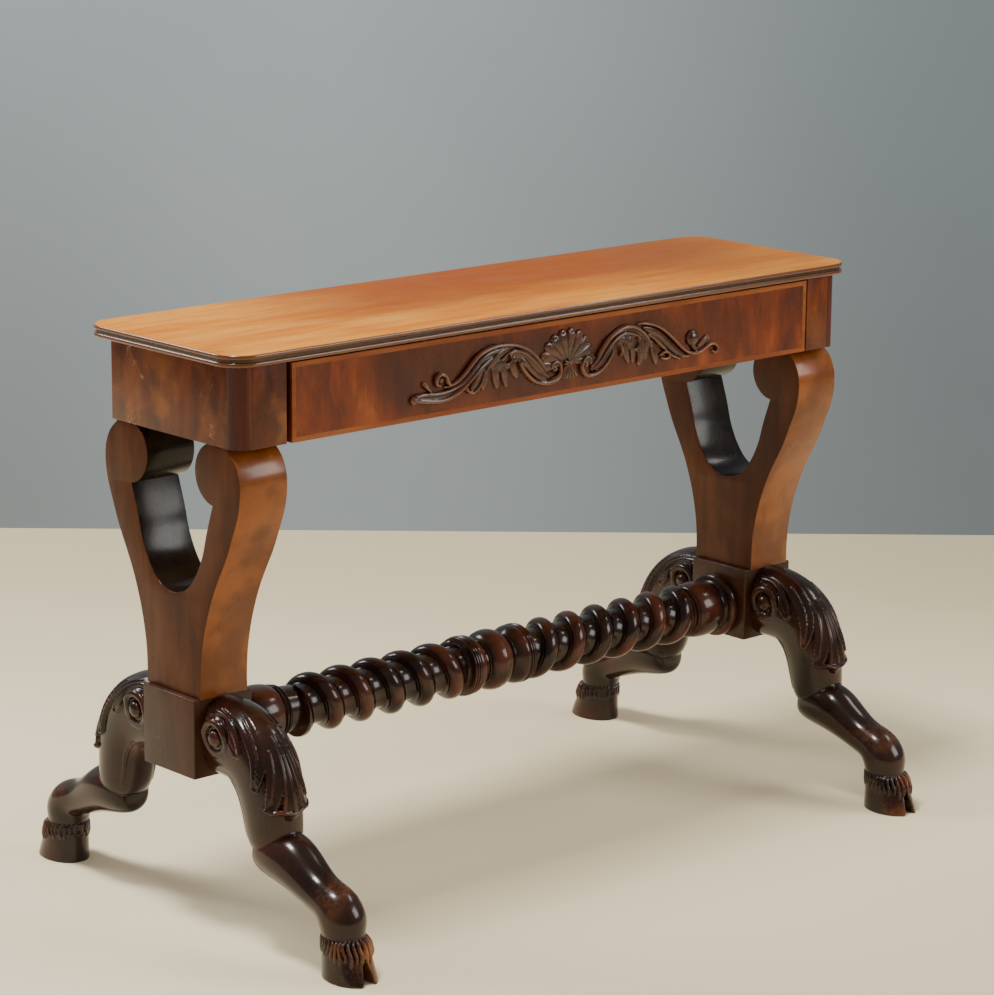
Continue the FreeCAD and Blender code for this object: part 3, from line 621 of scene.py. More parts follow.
def make_top():
    """Thin top whose edge carries two beads with a quirk between them."""
    low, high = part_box("top_board")
    beads = []
    for bottom in (low.z, high.z - bead_height):
        bead_slab = slab(low, high, bottom, bottom + bead_height, 0)
        apply_modifier(bead_slab, "rounded", "BEVEL", width=bead_roundness, segments=5,
                       limit_method="ANGLE", angle_limit=radians(60), profile=0.5)
        beads.append(bead_slab)
    quirk = slab(low, high, low.z + quirk_overlap, high.z - quirk_overlap, quirk_depth)
    piece, upper = beads
    combine(piece, quirk, "UNION")
    combine(piece, upper, "UNION")
    tidy_mesh(piece, 30)
    settle(piece, "moulded_top", "table", "walnut_top", ["top_board"])


def make_corner_post(side):
    """Quarter-round post that turns a front corner of the case."""
    name = side + "_corner_post"
    low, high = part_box(name)
    outer = low.x if side == "left" else high.x
    piece = add_block(low, high)
    round_edges(piece, lambda a, b: (abs(a.x - outer) + abs(b.x - outer) + abs(a.y - low.y)
                                     + abs(b.y - low.y)) < 1e-5,
                (high.x - low.x) * post_fullness, 16)
    tidy_mesh(piece)
    settle(piece, side + "_rounded_corner", "table", "walnut_corner", [name])


# ------------------------------------------------------------------ lyres
lyre_scroll_radius = 44 * mm
lyre_scroll_offset = 97 * mm
lyre_scroll_drop = 40 * mm
lyre_scroll_end = -99          # where the scroll runs into the opening, in degrees
lyre_scroll_steps = 9
lyre_base_half = 60 * mm
lyre_half_width = 149.5 * mm
lyre_opening_radius = 55 * mm
lyre_opening_height = 140 * mm
lyre_middle_height = 250 * mm
lyre_top_band = 20 * mm        # the scrolls' flat tops lie in this band
lyre_thickness = 81 * mm
lyre_ease = 1.2 * mm


def lyre_half_outline(base, top):
    """(y, z, sharp) round one half of a lyre, from the middle of its foot to the middle
    of its opening."""
    half_chord = sqrt(lyre_scroll_radius ** 2 - lyre_scroll_drop ** 2)
    cut_in = lyre_scroll_offset - half_chord
    cut_out = lyre_scroll_offset + half_chord + 5 * mm
    points = [(lyre_base_half, base, True), (lyre_base_half, base + 30 * mm, False),
              (lyre_base_half + 4.5 * mm, base + 72 * mm, False),
              (lyre_base_half + 24 * mm, base + 139 * mm, False),
              (lyre_half_width - 20 * mm, base + 232 * mm, False),
              (lyre_half_width, top - 58 * mm, False),
              (lyre_half_width - 8 * mm, top - 22 * mm, False),
              (cut_out, top, True), (cut_in, top, True)]

    def on_circle(across, up, radius, turn, sharp=False):
        points.append((across + radius * cos(turn), up + radius * sin(turn), sharp))

    start = atan2(lyre_scroll_drop, cut_in - lyre_scroll_offset)
    end = radians(lyre_scroll_end) + 2 * pi
    for i in range(1, lyre_scroll_steps + 1):
        on_circle(lyre_scroll_offset, top - lyre_scroll_drop, lyre_scroll_radius,
                  start + (end - start) * i / lyre_scroll_steps, i == lyre_scroll_steps)
    meet_y, meet_z, sharp = points[-1]
    centre_z = base + lyre_opening_height + lyre_opening_radius
    side_y = lyre_opening_radius * cos(radians(-36))
    side_z = centre_z + lyre_opening_radius * sin(radians(-36))
    points += [(meet_y - 13 * mm, meet_z - 38 * mm, False),
               (side_y + 20 * mm, side_z + 34 * mm, False)]
    for turn in (-36, -54, -72, -90):
        on_circle(0, centre_z, lyre_opening_radius, radians(turn))
    return points


def make_lyre(side):
    """Lyre cut from thick stuff: a closed curve, filled, extruded and eased at its arrises."""
    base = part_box(side + "_block")[1].z
    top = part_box(side + "_front_stile")[0].z
    low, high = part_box(side + "_lyre")
    half = lyre_half_outline(base, top)
    outline = half + [(-y, z, sharp) for y, z, sharp in reversed(half[:-1])]
    clear_selection()
    bpy.ops.curve.primitive_bezier_curve_add(location=(0, 0, 0))
    curve = bpy.context.object
    data = curve.data
    data.dimensions = "2D"
    data.fill_mode = "BOTH"
    data.resolution_u = 10
    data.extrude = lyre_thickness / 2 - lyre_ease
    data.bevel_depth = lyre_ease
    data.bevel_resolution = 2
    data.offset = -lyre_ease
    spline = data.splines[0]
    spline.bezier_points.add(len(outline) - 2)
    spline.use_cyclic_u = True
    for point, (y, z, sharp) in zip(spline.bezier_points, outline):
        point.co = (y, z, 0)
        point.handle_left_type = point.handle_right_type = "VECTOR" if sharp else "AUTO"
    curve.rotation_euler = (pi / 2, 0, pi / 2)
    curve.location = ((low.x + high.x) / 2, 0, 0)
    pick(curve)
    bpy.ops.object.convert(target="MESH")
    piece = bpy.context.object
    tidy_mesh(piece, 30)
    settle(piece, side + "_lyre_shaped", "table", "walnut_lyre", [side + "_lyre"])
    # these marks let the finish paint the edges lighter (edge grain and painted light) and the
    # opening near black (painted shade)
    edges, inside = [], []
    for face in piece.data.polygons:
        y, z = face.center.y, face.center.z
        on_edge = abs(face.normal.x) < 0.5
        inward = y * face.normal.y + (z - base - lyre_middle_height) * face.normal.z < 0
        if z > top - lyre_top_band:
            inward = abs(y) < lyre_scroll_offset
        edges.append(on_edge)
        inside.append(on_edge and inward)
    mark(piece, "edge_grain", edges, "FACE")
    mark(piece, "inside", inside, "FACE")


# ------------------------------------------------------------------ stretcher
stretcher_height = 267 * mm
twist_pitch = 56.8 * mm
twist_crest = 108.5 * mm       # a crest stands uppermost this far from the middle
twist_start = 66 * mm
twist_steps = 64
crest_radius = 44 * mm
hollow_radius = 20 * mm        # counts as a hollow with painted shade up to here, and as a worn crest with a painted highlight this much further out
rubbed_and_highlit_out = 27 * mm           # this much further out
twist_grooves = ((0.253, 0.012, 0.5), (0.315, 0.02, 0.25))  # shares of the pitch, and how much darker: dirt and painted shade
end_lengths = {"right": 93 * mm, "left": 114 * mm}

# from a crest to the middle of a hollow: (share of the pitch, drop below the crest in mm)
twist_drops = [(0, 0), (0.06, 0.3), (0.11, 1.1), (0.155, 2.3), (0.19, 3.8), (0.215, 5.5),
               (0.232, 7.4), (0.243, 9.8), (0.250, 11.4), (0.257, 11.4), (0.264, 8.6),
               (0.273, 7.4), (0.285, 7.8), (0.295, 10.2), (0.306, 12), (0.36, 12.9),
               (0.43, 13.4), (0.5, 13.6)]

# (x, radius) in mm from the middle, and from a block's face, out along the stretcher; a bead
# is (start, end, foot radius, crown radius, steps)
middle_turning = [(0, 45.5), (5, 45.1), (10, 43.8), (14, 41.8), (17.5, 38.9), (20, 35.6),
                  (21.2, 33.2), (22.2, 33), (23, 35.6), (24.2, 36.4), (25.6, 36), (26.6, 33.8),
                  (28.5, 33.6), (31, 36), (34.5, 39.6), (38.5, 42.4), (43, 44), (47, 44.2),
                  (49.4, 43.2), (49.8, 53.4, 42.4, 44.8, 5), (53.8, 57.4, 42.4, 44.8, 5),
                  (57.8, 61.4, 42.4, 44, 5), (62.2, 38), (64, 34), (67, 32)]
end_turning = [(0, 41), (3.5, 41), (4.5, 43.5), (4.8, 18, 44.5, 49.5, 8), (18.6, 41), (20, 38),
               (23, 36.2), (26, 36.6), (26.5, 76.5, 36.8, 43.8, 14), (77, 35.6),
               (78, 82, 37, 39.4, 4), (83, 35), (84.5, 89, 35.6, 38, 4), (90.5, 33.8)]
end_neck = 32 * mm


def curved(points, steps):
    """Smooth line through points, with this many steps between neighbours."""
    ends = [points[0]] + list(points) + [points[-1]]
    line = []
    for before, a, b, after in zip(ends, ends[1:], ends[2:], ends[3:]):
        for i in range(steps):
            t = i / steps
            line.append(tuple(0.5 * (2 * q + (r - p) * t + (2 * p - 5 * q + 4 * r - s) * t ** 2
                                     + (3 * q - p - 3 * r + s) * t ** 3)
                              for p, q, r, s in zip(before, a, b, after)))
    return line + [tuple(points[-1])]


def turning(stations):
    """The (x, radius) line of a turned piece in metres, with its half-round beads drawn."""
    line = []
    for station in stations:
        if len(station) == 2:
            line.append((station[0] * mm, station[1] * mm))
            continue
        start, end, foot, crown = (size * mm for size in station[:4])
        steps = station[4]
        line += [(start + (end - start) * (1 - cos(pi * i / steps)) / 2,
                  foot + (crown - foot) * sin(pi * i / steps)) for i in range(steps + 1)]
    return line


def turned(profile):
    """Wood turned about X: a circle extruded and resized along the (x, radius) profile."""
    clear_selection()
    x, radius = profile[0]
    bpy.ops.mesh.primitive_circle_add(vertices=80, radius=radius, fill_type="NGON",
                                      location=(x, 0, 0), rotation=(0, pi / 2, 0))
    piece = bpy.context.object
    bpy.ops.object.transform_apply()
    edit_all()
    for next_x, next_radius in profile[1:]:
        bpy.ops.mesh.extrude_region_move(TRANSFORM_OT_translate={"value": (next_x - x, 0, 0)})
        grow = next_radius / radius
        bpy.ops.transform.resize(value=(1, grow, grow), center_override=(next_x, 0, 0))
        x, radius = next_x, next_radius
    edit(False)
    tidy_mesh(piece, 40, 0.001 * mm)
    return piece


def twist(start, end):
    """Barley twist from start to end: the profile of one pitch, screwed about the axis and
    cut square at both ends."""
    half = [(x * twist_pitch, crest_radius - drop * mm) for x, drop in twist_drops]
    profile = [(-x, r) for x, r in reversed(half[1:])] + half
    first = twist_crest - 2 * twist_pitch
    clear_selection()
    bpy.ops.mesh.primitive_circle_add(vertices=len(profile), radius=crest_radius)
    piece = bpy.context.object
    choose(piece, "EDGE", lambda edge: abs(edge.vertices[0] - edge.vertices[1]) > 1)
    bpy.ops.mesh.delete(type="EDGE")
    edit(False)
    for vertex, (x, radius) in zip(piece.data.vertices, profile):
        vertex.co = (0, radius, x)
    apply_modifier(piece, "screwed", "SCREW", axis="Z", angle=-2 * pi,
                   iterations=int((end - first) / twist_pitch) + 3, screw_offset=twist_pitch,
                   steps=twist_steps, render_steps=twist_steps, use_merge_vertices=False,
                   use_normal_calculate=True)
    for vertex in piece.data.vertices:
        side, up, x = vertex.co
        vertex.co = (x + first, side, up)
    edit_all()
    bpy.ops.mesh.remove_doubles(threshold=0.01 * mm)
    bpy.ops.mesh.bisect(plane_co=(start, 0, 0), plane_no=(1, 0, 0), use_fill=True,
                        clear_inner=True)
    edit(False)
    cut_flat(piece, (end, 0, 0), (1, 0, 0))
    tidy_mesh(piece, 50, 0.001 * mm)
    return piece


def stretcher_half(side):
    """Half of the stretcher: centre ball and beads, twist, then bulb and disc at the block."""
    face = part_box("right_block")[0].x
    length = end_lengths[side]
    end = turning(end_turning) + [(length + 2 * mm, end_neck)]
    pieces = [turned(turning(middle_turning)), turned([(face - x, r) for x, r in reversed(end)]),
              twist(twist_start, face - length)]
    for piece in pieces:
        pick(piece)
        if side == "left":
            bpy.ops.transform.resize(value=(-1, 1, 1), center_override=(0, 0, 0))
        bpy.ops.transform.translate(value=(0, 0, stretcher_height))
        bpy.ops.object.transform_apply()
    return pieces


def make_stretcher():
    """Both halves joined, with its heights marked: painted shade in its hollows, dirt and painted
    shade in its grooves, and wear with a painted highlight on its crests.
    """
    piece = join(stretcher_half("right") + stretcher_half("left"))
    tidy_mesh(piece, 40, 0.001 * mm)
    x, y, z = corners_of(piece).T
    up = z - stretcher_height
    radius = np.hypot(y, up)
    height = (radius - hollow_radius) / rubbed_and_highlit_out
    # the two grooves beside each crest of the twist hold dirt and painted shade
    out = np.abs(x)
    phase = (out - twist_crest) / twist_pitch - np.arctan2(y, up) / (2 * pi)
    phase = np.abs(phase - np.round(phase))
    in_twist = (out > twist_start) & (radius < 42 * mm)
    # darker in the grooves: dirt and painted shade
    for place, width, dirt in twist_grooves:
        height -= dirt * np.exp(-((phase - place) / width) ** 2) * in_twist
    mark(piece, "height", np.clip(height, 0, 1))
    mark(piece, "bare", np.zeros(len(radius)))
    settle(piece, "turned_stretcher", "table", "dark_walnut", ["stretcher"])


# ------------------------------------------------------------------ carved relief
ground = -0.8 * mm             # the relief's ground lies just inside the surface behind it


def relief(across, up, strokes, holes=()):
    """Height of carved strokes over places on a surface.

    A stroke runs through stations of (across, up, half width, height) in millimetres, with a
    share of its height hollowed along the middle. The higher stroke shows. A hole is (across,
    up, half width, half height), cut down to the ground.
    """
    height = np.full(len(across), ground)
    for hollow, stations in strokes:
        line = np.array(curved([tuple(s) for s in stations], 5)) * mm
        reach = line[:, 2].max() + 1 * mm
        near = np.nonzero((across > line[:, 0].min() - reach) & (up > line[:, 1].min() - reach)
                          & (across < line[:, 0].max() + reach)
                          & (up < line[:, 1].max() + reach))[0]
        a, b = across[near], up[near]
        out, width, crown = np.full(len(near), 99.0), np.zeros(len(near)), np.zeros(len(near))
        for start, end in zip(line[:-1], line[1:]):
            run, rise, wider, higher = end - start
            length = max(run ** 2 + rise ** 2, 1e-12)
            t = np.clip(((a - start[0]) * run + (b - start[1]) * rise) / length, 0, 1)
            half = start[2] + t * wider
            off = np.hypot(a - start[0] - t * run, b - start[1] - t * rise) / half
            closer = off < out
            out[closer], width[closer] = off[closer], half[closer]
            crown[closer] = (start[3] + t * higher)[closer]
        inside = np.clip(1 - out ** 2, 0, 1)
        raised = crown * np.sqrt(inside) * (1 - hollow * inside ** 2)
        raised = np.where(out < 1, raised, (1 - out) * width * 2.5)
        height[near] = np.maximum(height[near], raised)
    for x, z, wide, tall in holes:
        away = np.hypot((across - x * mm) / (wide * mm), (up - z * mm) / (tall * mm)) - 1
        height = np.minimum(height, ground + np.maximum(away, 0) * 9 * mm)
    return height


def blurred(piece, values, rounds):
    """A value per vertex, evened out with its neighbours again and again."""
    ends = np.zeros(len(piece.data.edges) * 2, int)
    piece.data.edges.foreach_get("vertices", ends)
    a, b = ends.reshape(-1, 2).T
    count = len(values)
    share = np.maximum(np.bincount(a, minlength=count) + np.bincount(b, minlength=count), 1)
    for _ in range(rounds):
        near = (np.bincount(a, values[b], count) + np.bincount(b, values[a], count)) / share
        values = (values + near) / 2
    return values


# ------------------------------------------------------------------ carving on the drawer
shell_centre = (10, 733)
shell_reach = 50.5
shell_lobes = 10
flower_centre = (9, 736.5)

left_strokes = [
    # low ground between the strands and behind the leaves
    (0, [(-28, 722, 6, 4), (-45, 732, 8, 4), (-60, 745, 9, 4), (-78, 757, 10, 4),
         (-100, 766, 8, 4), (-125, 769, 8, 4.5), (-150, 762, 9, 4.5), (-170, 749, 9, 4.5),
         (-190, 731, 8, 4.5), (-215, 721.5, 7, 4), (-245, 718.5, 6, 4), (-272, 720.5, 6, 4)]),
    (0, [(-150, 743, 8, 4), (-128, 749, 12, 4.5), (-108, 750, 11, 4.5), (-92, 753, 8, 4)]),
    # outer strand over the arch, and the strand beside it
    (0, [(-30, 730, 3, 5), (-42, 742, 3.4, 7), (-53, 753, 3.6, 7.5), (-66, 763, 3.6, 7.5),
         (-81, 770, 3.6, 7.5), (-98, 774.5, 3.4, 7.5), (-124, 776.5, 3.4, 8),
         (-145, 774, 3.4, 8.5), (-160, 768, 3.4, 8.5), (-173, 758, 3.3, 8.5),
         (-186, 746, 3.2, 8), (-198, 737, 3, 7), (-212, 731.5, 2.6, 6), (-222, 731, 2, 4)]),
    (0, [(-104, 770, 3, 5), (-122, 770.5, 4.5, 6.5), (-143, 767, 5, 7), (-157, 760, 5, 7),
         (-169, 750, 5, 7), (-181, 739, 4.8, 7), (-194, 730.5, 4.4, 6.5), (-210, 725, 4, 6),
         (-228, 722.5, 3.8, 6), (-246, 723, 3.6, 6), (-262, 724.5, 3.6, 6.5),
         (-274, 723.5, 4, 7)]),
    (0, [(-128, 763, 3, 4), (-144, 757, 5, 7), (-158, 749.5, 5.4, 8.5), (-171, 740.5, 5.4, 9),
         (-184, 730.5, 5, 9), (-198, 721.5, 4.6, 8.5), (-213, 715.5, 4.2, 8),
         (-230, 713, 4, 7.5), (-248, 714, 4, 7), (-264, 716.5, 3.8, 6.5),
         (-277, 718, 4, 6.5)]),
    (0, [(-272, 721.5, 6, 6.5), (-278, 719.5, 6.6, 8)]),
    # volute and bud above the tail
    (0, [(-205, 732, 2.4, 5), (-214, 733.5, 3, 7), (-219, 740, 3.4, 8.5), (-223, 747, 3.6, 9),
         (-231, 750, 3.6, 9), (-237.5, 745, 3.2, 8), (-237, 736.5, 2.8, 6.5),
         (-230, 733, 2.2, 5)]),
    (0, [(-228, 741, 4.6, 4.5), (-227, 741, 4.6, 4.5)]),
    (0, [(-244, 724, 2.4, 4), (-251, 731, 3, 5.5), (-257, 737, 4, 7), (-260, 740, 3.4, 5)]),
    # leaf over the arch: broad crest, then its fingers
    (0.25, [(-104, 771, 4, 7), (-118, 766.5, 5.6, 9), (-131, 758.5, 6, 9), (-141, 749.5, 5.4, 8.5),
            (-146, 741, 4, 7)]),
    (0.35, [(-136, 757, 6, 5), (-148, 747, 7.4, 6), (-157, 736.5, 7.8, 6.5),
            (-164, 727, 7.4, 6.5), (-170, 720.5, 5.6, 6)]),
    (0, [(-149, 744, 2, 6), (-154, 733, 2.2, 7.5), (-161, 722.5, 2.4, 7.5),
         (-171, 716.5, 2.3, 7), (-179, 719.5, 2.2, 6.5), (-181, 724, 2, 6)]),
    (0.3, [(-141, 744, 4, 6), (-147, 733, 5, 6.5), (-150.5, 725, 4.4, 6), (-151, 720, 2.6, 5)]),
    (0.3, [(-129, 756, 7, 6), (-127.5, 741, 6.6, 6.5), (-126.5, 728, 5.4, 6.5),
           (-125, 719, 3, 5)]),
    (0.3, [(-114, 754, 5, 5.5), (-113, 741, 5.4, 6.5), (-110.5, 728, 4.6, 6.5),
           (-107.5, 718.5, 2.6, 5)]),
    (0.3, [(-99, 756, 6, 5.5), (-96, 745, 6.4, 6.5), (-91.5, 735, 5.4, 6),
           (-88.5, 729.5, 3.4, 5)]),
    # inner strand, from the leaf's second crest to the foot
    (0, [(-117, 757, 3.6, 7.5), (-108, 762, 4.2, 8.5), (-97, 765.5, 4.2, 8.5),
         (-84, 764, 4, 7.5), (-71, 759, 4, 7), (-59, 750, 4, 7), (-48, 740, 3.8, 6.5),
         (-38, 729, 3.6, 6), (-29, 721, 3.4, 5.5)]),
    (0.2, [(-82, 752, 4, 5), (-76, 748.5, 5.6, 8), (-68, 741.5, 5.4, 7), (-58, 732, 5, 6.5),
           (-47, 723.5, 4.8, 6.5), (-35, 717.5, 4.6, 7)]),
    (0, [(-81, 746, 3, 7), (-76, 738, 3.4, 7), (-66, 727, 3.4, 7), (-54, 718, 3.4, 7),
         (-40, 713, 3.6, 7.5), (-26, 712.5, 4.6, 8.5), (-15, 714.5, 5, 9), (-8, 719, 4, 8.5),
         (-4.5, 726, 3.2, 8), (-6, 735, 3, 8), (-13, 740.5, 3, 8.5), (-21, 738.5, 3, 8),
         (-24, 731.5, 2.6, 6.5)]),
    (0, [(-15, 730, 5, 6.5), (-14, 730, 5, 6.5)]),
]
left_holes = [(-139, 738, 4.2, 5.4), (-105, 755.5, 4.8, 4)]

right_strokes = [
    # low ground between the strands and behind the leaves
    (0, [(60, 721, 5, 4), (75, 733, 7, 4), (90, 750, 8, 4), (110, 765, 6, 4),
         (132, 769, 5, 4), (150, 762, 7, 4), (165, 752, 7, 4), (176, 741, 4, 4)]),
    (0, [(114, 757, 6, 4), (130, 751, 11, 4.5), (152, 745, 12, 4.5), (172, 743, 7, 4)]),
    # first arch: two strands, then the leaf's rim
    (0, [(58, 725, 3, 6), (68, 735, 3.8, 8), (78, 748, 4, 8.5), (90, 760, 4, 8.5),
         (104, 768.5, 3.8, 8.5), (118, 773, 3.6, 8.5), (133, 773, 3.6, 8), (147, 768.5, 3.6, 8),
         (160, 760, 3.6, 8), (169, 750.5, 3.6, 7.5), (175.5, 740.5, 3.2, 7)]),
    (0, [(62, 722, 3, 6), (73, 731, 3.8, 7.5), (83, 742.5, 4.4, 9), (93, 752, 4.4, 9),
         (105, 760, 4, 8.5), (118, 764.5, 4, 8), (132, 763.5, 4, 7.5), (144, 759.5, 3.8, 7),
         (152, 754, 3.2, 6)]),
    (0, [(66, 719.5, 3, 5), (78, 728, 4.2, 6), (88, 739, 4.4, 6.5), (97, 749, 4, 6.5)]),
    # lower strand, from the hollow under the arch round to the scroll beside the shell
    (0, [(115.5, 733, 2, 5), (117.5, 741, 2.6, 6.5), (113, 749, 2.8, 7), (105, 751, 3, 7.5),
         (99, 744.5, 3.2, 8), (91, 732.5, 3.4, 8), (80, 721.5, 3.6, 8), (67, 714, 3.6, 7.5),
         (53, 711.8, 3.6, 7.5), (42.5, 716, 3.4, 8), (37.5, 725, 3.2, 8), (38.5, 735, 3, 8.5),
         (45.5, 740.5, 3, 8.5), (53, 737, 3, 8), (54.5, 729.5, 2.6, 6.5)]),
    (0, [(46, 729, 5, 6.5), (47, 729, 5, 6.5)]),
    # fingers of the leaf
    (0.3, [(126, 757, 7, 5.5), (124, 744, 7, 6.5), (127, 732, 5.8, 6.5), (131, 723, 3, 5)]),
    (0.3, [(137, 755, 6, 5.5), (138.5, 741, 5.6, 6.5), (139.5, 730, 4.4, 6),
           (139.5, 722, 2.6, 5)]),
    (0.3, [(155, 756, 6, 5.5), (157, 741, 8, 6.5), (157, 728, 7.4, 6.5), (153, 717.5, 4, 5)]),
    (0.3, [(168, 752, 6, 6), (167, 741, 6, 6.5), (166, 731, 4.4, 6), (165, 723, 2.4, 5)]),
    (0.3, [(178, 744, 4, 5), (183, 730, 6, 6.5), (186, 720, 5, 6.5), (187, 713.5, 2.6, 5)]),
    # long outer leaf: bright rim, fluted body, then the tail and its curl
    (0, [(150, 775, 2, 4), (162, 774.5, 2.8, 7), (177, 771, 2.8, 7.5), (192, 765, 2.8, 8),
         (206, 756.5, 2.8, 8), (220, 745.5, 2.8, 8), (232, 735.5, 2.8, 8), (244, 726, 2.8, 8),
         (257, 719.5, 3, 8), (271, 718, 3, 7.5), (284, 721.5, 2.8, 7), (296, 727, 2.8, 7),
         (307, 727, 2.8, 7), (314.5, 720.5, 2.6, 7), (310, 714, 2.4, 6), (304, 717, 2, 5)]),
    (0.15, [(162, 768, 3, 4), (176, 762.5, 6, 6), (190, 755, 6.4, 6.5), (204, 744.5, 6.4, 6.5),
            (217, 733.5, 6, 6.5), (230, 724, 5, 6), (244, 717, 3.4, 5.5), (256, 715.5, 2.4, 4)]),
    (0, [(172, 756, 2.6, 4), (185, 748.5, 3.6, 6), (197, 738.5, 3.6, 6.5),
         (209, 728, 3.4, 6), (222, 719.5, 3, 5.5), (236, 713.5, 2.2, 4)]),
    (0, [(196, 724, 2.4, 6), (203, 727.5, 2.6, 7), (211, 726, 2.6, 7), (213.5, 720, 2.4, 7),
         (207, 717, 2.4, 6.5), (199, 718.5, 2, 5)]),
    # ball, its neck and the small leaf beside it
    (0, [(261.5, 741, 12.2, 9), (262.5, 741, 12.2, 9)]),
    (0, [(262, 731, 4.6, 6), (267, 724, 4, 6.5), (271, 719, 3.4, 6)]),
    (0.2, [(276, 728, 2.6, 4.5), (284, 734.5, 3.6, 6), (292, 738.5, 3.4, 5.5),
           (297, 737, 2, 4)]),
]
right_holes = [(107, 741.5, 5.2, 7.4), (145, 748, 4.6, 6), (172.5, 730, 3.4, 5.4)]


def shell_strokes():
    """Lobed shell: hollowed ribs that fan out, a pearled flower and the leaf under it."""
    x, z = shell_centre
    strokes = []
    for i in range(shell_lobes):
        turn = radians(2 + 178 * i / (shell_lobes - 1))
        across, rise = cos(turn), sin(turn)
        far = shell_reach * (1 - 0.07 * rise * (1 - rise))
        strokes.append((0.22, [(x + across * far * s, z + 2 + rise * far * 0.91 * s, w, h)
                               for s, w, h in ((0.16, 2, 5), (0.45, 5, 6), (0.72, 7.6, 6.6),
                                               (0.9, 8.4, 6), (0.95, 7.6, 5))]))
    x, z = flower_centre
    for i in range(6):
        turn = radians(60 * i + 20)
        strokes.append((0, [(x + 1.5 * cos(turn), z + 1.2 * sin(turn), 2, 8),
                            (x + 6.5 * cos(turn), z + 4 * sin(turn), 2.4, 8.6)]))
    for i in range(6):
        lean = i - 2.5
        strokes.append((0, [(x + lean * 1.6, z - 5, 2, 5), (x + 2 + lean * 4.4, z - 15, 2.9, 6),
                            (x + 2.5 + lean * 6.2, z - 22.5 + abs(lean) * 0.8, 2.7, 5)]))
    return strokes


carving_width = 632 * mm
carving_tall = 88 * mm
carving_middle = (14 * mm, 745 * mm)
carving_grain = 0.85 * mm      # size of the facets that it is cut in
carving_back = 1.6 * mm        # how far its flat back lies behind the drawer's face


def make_drawer_carving():
    """Shell between two leafy scrolls: a fine grid raised by the strokes, backed and closed."""
    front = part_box("drawer_front")[0].y
    clear_selection()
    bpy.ops.mesh.primitive_grid_add(x_subdivisions=int(carving_width / carving_grain),
                                    y_subdivisions=int(carving_tall / carving_grain), size=1,
                                    location=(carving_middle[0], front, carving_middle[1]),
                                    rotation=(pi / 2, 0, 0))
    piece = bpy.context.object
    piece.scale = (carving_width, carving_tall, 1)
    bpy.ops.object.transform_apply()
    places = corners_of(piece)
    height = relief(places[:, 0], places[:, 2], left_strokes + shell_strokes() + right_strokes,
                    left_holes + right_holes)
    places[:, 1] = front - height
    move_corners(piece, places)
    # from this height the carving's finish paints shade in its hollows and a highlight on its
    # ridges
    above = height - blurred(piece, height, 14)
    mark(piece, "height", np.clip(0.5 + above / (3.2 * mm), 0, 1))
    choose(piece, "FACE", lambda face: all(height[i] < ground + 0.05 * mm for i in face.vertices))
    bpy.ops.mesh.delete(type="FACE")
    bpy.ops.mesh.select_all(action="SELECT")
    bpy.ops.mesh.extrude_region_move(TRANSFORM_OT_translate={"value": (0, 20 * mm, 0)})
    bpy.ops.transform.resize(value=(1, 0, 1), center_override=(0, front + carving_back, 0))
    edit(False)
    tidy_mesh(piece, 60, 0.001 * mm)
    settle(piece, "carved_shell_and_scrolls", "drawer", "walnut_carving", ["drawer_carving"])


# ------------------------------------------------------------------ goat legs
block_middle = 275 * mm
leg_half = 42 * mm             # half the thickness of the plank a leg is carved from
knee_reach = 113 * mm          # from the block to the middle of the knee
knee_height = 137 * mm
leg_reach = 313 * mm
hoof_height = 52 * mm
hoof_half = 44 * mm
cleft_width = 20 * mm
cleft_depth = 46 * mm
volute_place = (89 * mm, 284 * mm)
volute_radius = 27 * mm
volute_inset = 2.5 * mm        # how far its drum lies inside the plank's faces
leg_grain = 1.15 * mm          # size of the facets that the carving is cut in
leg_thinning = 0.79            # share of the facets kept, where the wood is plain
thigh_fullness = 0.775         # how far a section's corners stand out: 0.71 is round
shank_fullness = 0.72
thigh_radius = 40 * mm         # turns an angle round the thigh into a distance
leaf_end = 150 * mm            # height above the floor where the leaf stops
flute_height = 1.9 * mm        # flutes across the rolled edge of the volute
flute_width = 11 * mm
volute_floor = -2.4 * mm
hair_top = 62 * mm
hair_radius = 28.6 * mm        # turns a bearing round the hoof into a distance
lock_count = 30
fetlock_place = (240 * mm, 106 * mm)
fetlock_size = 17 * mm

# (out, down, lean, half across, half width) down the thigh and along the shank
thigh_shape = [(-0.16, 0, 90, 53, 36.5), (0, 0, 90, 53, 36.5), (0.20, -0.01, 84, 54, 38.5),
               (0.44, 0.02, 68, 54, 38.5), (0.74, 0.15, 43, 49, 38.5), (0.92, 0.41, 18, 42, 38.5),
               (0.97, 0.69, 4, 38.5, 36.5), (0.99, 0.87, -3, 37, 35), (1.0, 1.0, -8, 30, 29),
               (1.0, 1.03, -8, 22, 21)]
shank_shape = [(1.11, -0.06, 76, 10, 10), (1.10, -0.055, 76, 20, 20), (1.075, -0.05, 75, 32, 32),
               (0.94, -0.02, 72, 37, 37), (0.79, 0.05, 69, 36, 36), (0.64, 0.23, 67, 29, 32),
               (0.50, 0.40, 64, 25.5, 28.5), (0.36, 0.47, 48, 31, 31),
               (0.29, 0.68, 16, 33.5, 32.5), (0.29, 0.85, 0, 31, 30), (0.285, 1.0, 0, 28, 27),
               (0.285, 1.2, 0, 26, 26)]

